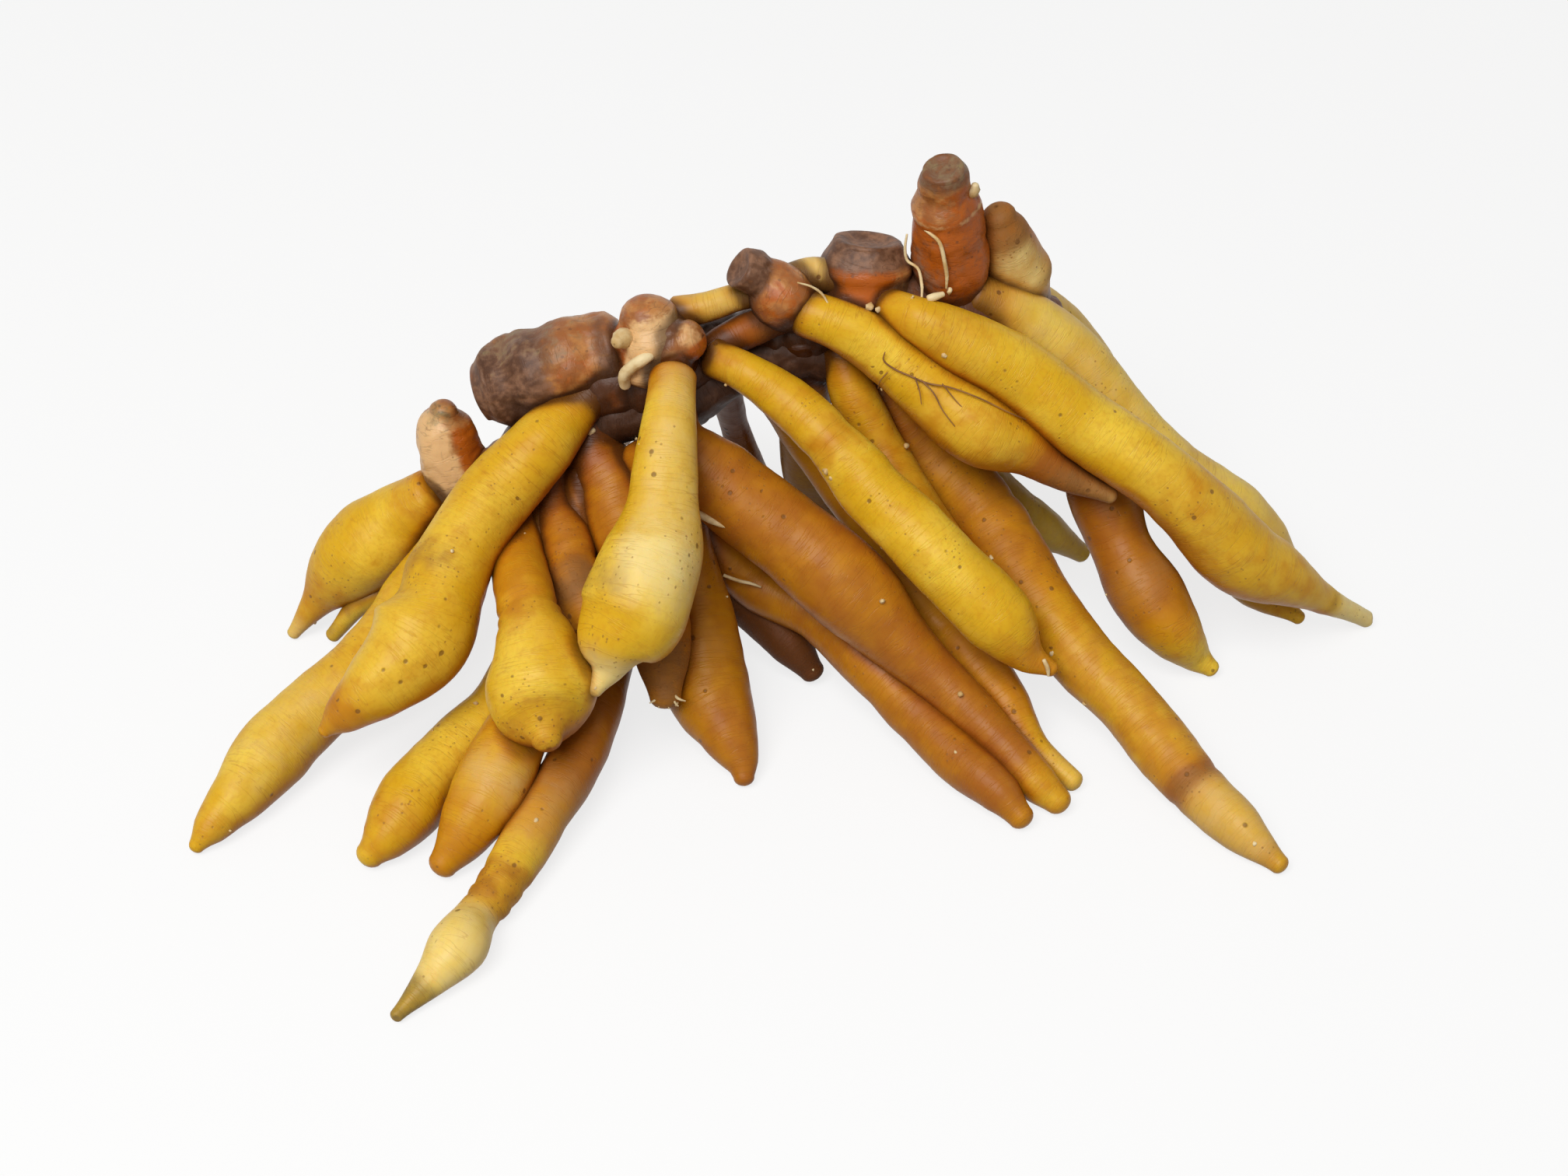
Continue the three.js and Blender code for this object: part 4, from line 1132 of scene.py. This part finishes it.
# %% Crumbs
CRUMB_SEED = 7
CRUMBS_A_FINGER = 2
CRUMB_RADII = (0.14, 0.32)
CRUMB_ROUGHNESS = 0.7
CRUMB_LIFT = 0.1  # how far a crumb's middle is from the skin
FLOOR_GAP = 2  # crumbs stay this far above the surface
PLACED_CRUMBS = (  # place and radius, in millimetres
    (-32.8, 13.4, 38.3, 0.55), (-33.6, 12.4, 38.6, 0.4), (34.9, -7.6, 13.3, 0.42), (39.7, -12.5, 7.9, 0.4),
    (8, 21.6, 54.5, 0.6), (9.2, 21.2, 54.3, 0.45), (12.2, 21, 54.4, 0.6), (1.5, 3.7, 38.2, 0.5),
    (2.3, 3.2, 37.4, 0.35), (26.5, 5.6, 20.7, 0.4), (9.6, -8.4, 24, 0.4), (13.7, 15.6, 33.9, 0.42),
    (18.5, 14.3, 51, 0.4), (20.9, -16.2, 13.1, 0.4), (-38.8, -36.3, 7.9, 0.35), (19.4, 21.9, 57, 0.5),
    (-29, -23, 22.6, 0.4), (-30.6, -24.6, 22, 0.35),
)


def add_crumb(bm, place, radius):
    place = Vector(place)
    for vert in bmesh.ops.create_icosphere(bm, subdivisions=2, radius=radius)["verts"]:
        unevenness = noise.noise(vert.co / radius + place)
        vert.co = place + vert.co * (1 + CRUMB_ROUGHNESS * unevenness)


def skin_points(rng):
    """A few points of skin on every finger, each pushed out a little along its normal."""
    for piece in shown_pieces():
        if piece.name.startswith("finger"):
            for index in rng.integers(len(piece.data.vertices), size=CRUMBS_A_FINGER):
                vert = piece.data.vertices[int(index)]
                yield vert.co / MM + vert.normal * CRUMB_LIFT


def make_crumbs():
    rng = np.random.default_rng(CRUMB_SEED)
    bm = bmesh.new()
    for x, y, z, radius in PLACED_CRUMBS:
        add_crumb(bm, (x, y, z), radius)
    for place in skin_points(rng):
        if place.z > FLOOR_GAP:
            add_crumb(bm, place, float(rng.uniform(*CRUMB_RADII)))
    straight = bm.verts.layers.float_vector.new("straight")
    for vert in bm.verts:
        vert[straight] = vert.co
    return finish_piece(bm, "crumbs", ROOTLET)


crumbs = make_crumbs()
print("crumbs:", len(crumbs.data.polygons), "faces")

# %% [markdown]
# ## The floor
# A plain pale floor takes the clump's shadow. It should look near white in the picture without throwing
# more light on the roots. So camera and mirror rays see a mix of the lit floor and plain white, and all
# other rays meet only the pale surface.

# %% Floor
FLOOR_SIZE = 6.0
FLOOR_SEEN = (0.88, 0.875, 0.86, 1)
FLOOR_BOUNCE = (0.30, 0.28, 0.24, 1)  # the floor's colour to light that goes on to the roots
FLOOR_WHITENESS = 0.78  # how much of the floor's look is plain white


def seen_directly(wire):
    """1 for rays from the camera, mirrors and glass, and 0 for light that bounces about."""
    path = [wire.node("LightPath", output=f"Is {kind} Ray") for kind in ("Camera", "Glossy", "Transmission")]
    return path[0].larger(path[1]).larger(path[2])


def make_floor():
    material, shader, wire = new_material("floor")
    seen = seen_directly(wire)
    feed(shader, "Base Color", seen.blend(FLOOR_BOUNCE, FLOOR_SEEN))
    shader.inputs["Roughness"].default_value = 0.8
    white = wire.node("Emission", None, {"Color": (1, 1, 1, 1), "Strength": 1.0})
    lit = Wire(wire.tree, shader.outputs[0])
    mixed = wire.node("MixShader", None, {0: seen * FLOOR_WHITENESS, 1: lit, 2: white})
    wire.tree.links.new(mixed.socket, wire.tree.nodes["Material Output"].inputs["Surface"])
    bm = bmesh.new()
    bmesh.ops.create_grid(bm, x_segments=1, y_segments=1, size=FLOOR_SIZE / 2)
    object_from(bm, "floor", material)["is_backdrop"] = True


make_floor()

# %% [markdown]
# ## Light
# A broad soft lamp stands above and a little to the front left, and the sky fills in evenly from all round.
# Wide lamps give the soft edge that daylight through cloud has. Together they reach a plain level, at which
# a colour renders about as it is written.

# %% Lamp and sky
SKY_LEVEL = 0.24
LAMP_SIZE = 0.55
LAMP_DISTANCE = 0.9
LAMP_POWER = 7.6
LAMP_FROM = Vector((-0.30, -0.60, 1.0)).normalized()

lamp_data = bpy.data.lights.new("lamp", "AREA")
lamp_data.size = LAMP_SIZE
lamp_data.energy = LAMP_POWER
lamp = put_in_scene("lamp", lamp_data)
lamp.location = AIM + LAMP_FROM * LAMP_DISTANCE
lamp.rotation_euler = LAMP_FROM.to_track_quat("Z", "Y").to_euler()


def make_sky():
    world = bpy.data.worlds.new("sky")
    bpy.context.scene.world = world
    world.use_nodes = True
    wire = Wire(world.node_tree)
    background = world.node_tree.nodes["Background"]
    feed(background, "Strength", seen_directly(wire) * (1 - SKY_LEVEL) + SKY_LEVEL)
    background.inputs["Color"].default_value = (1, 1, 1, 1)


make_sky()
bpy.context.scene.view_settings.view_transform = "Standard"
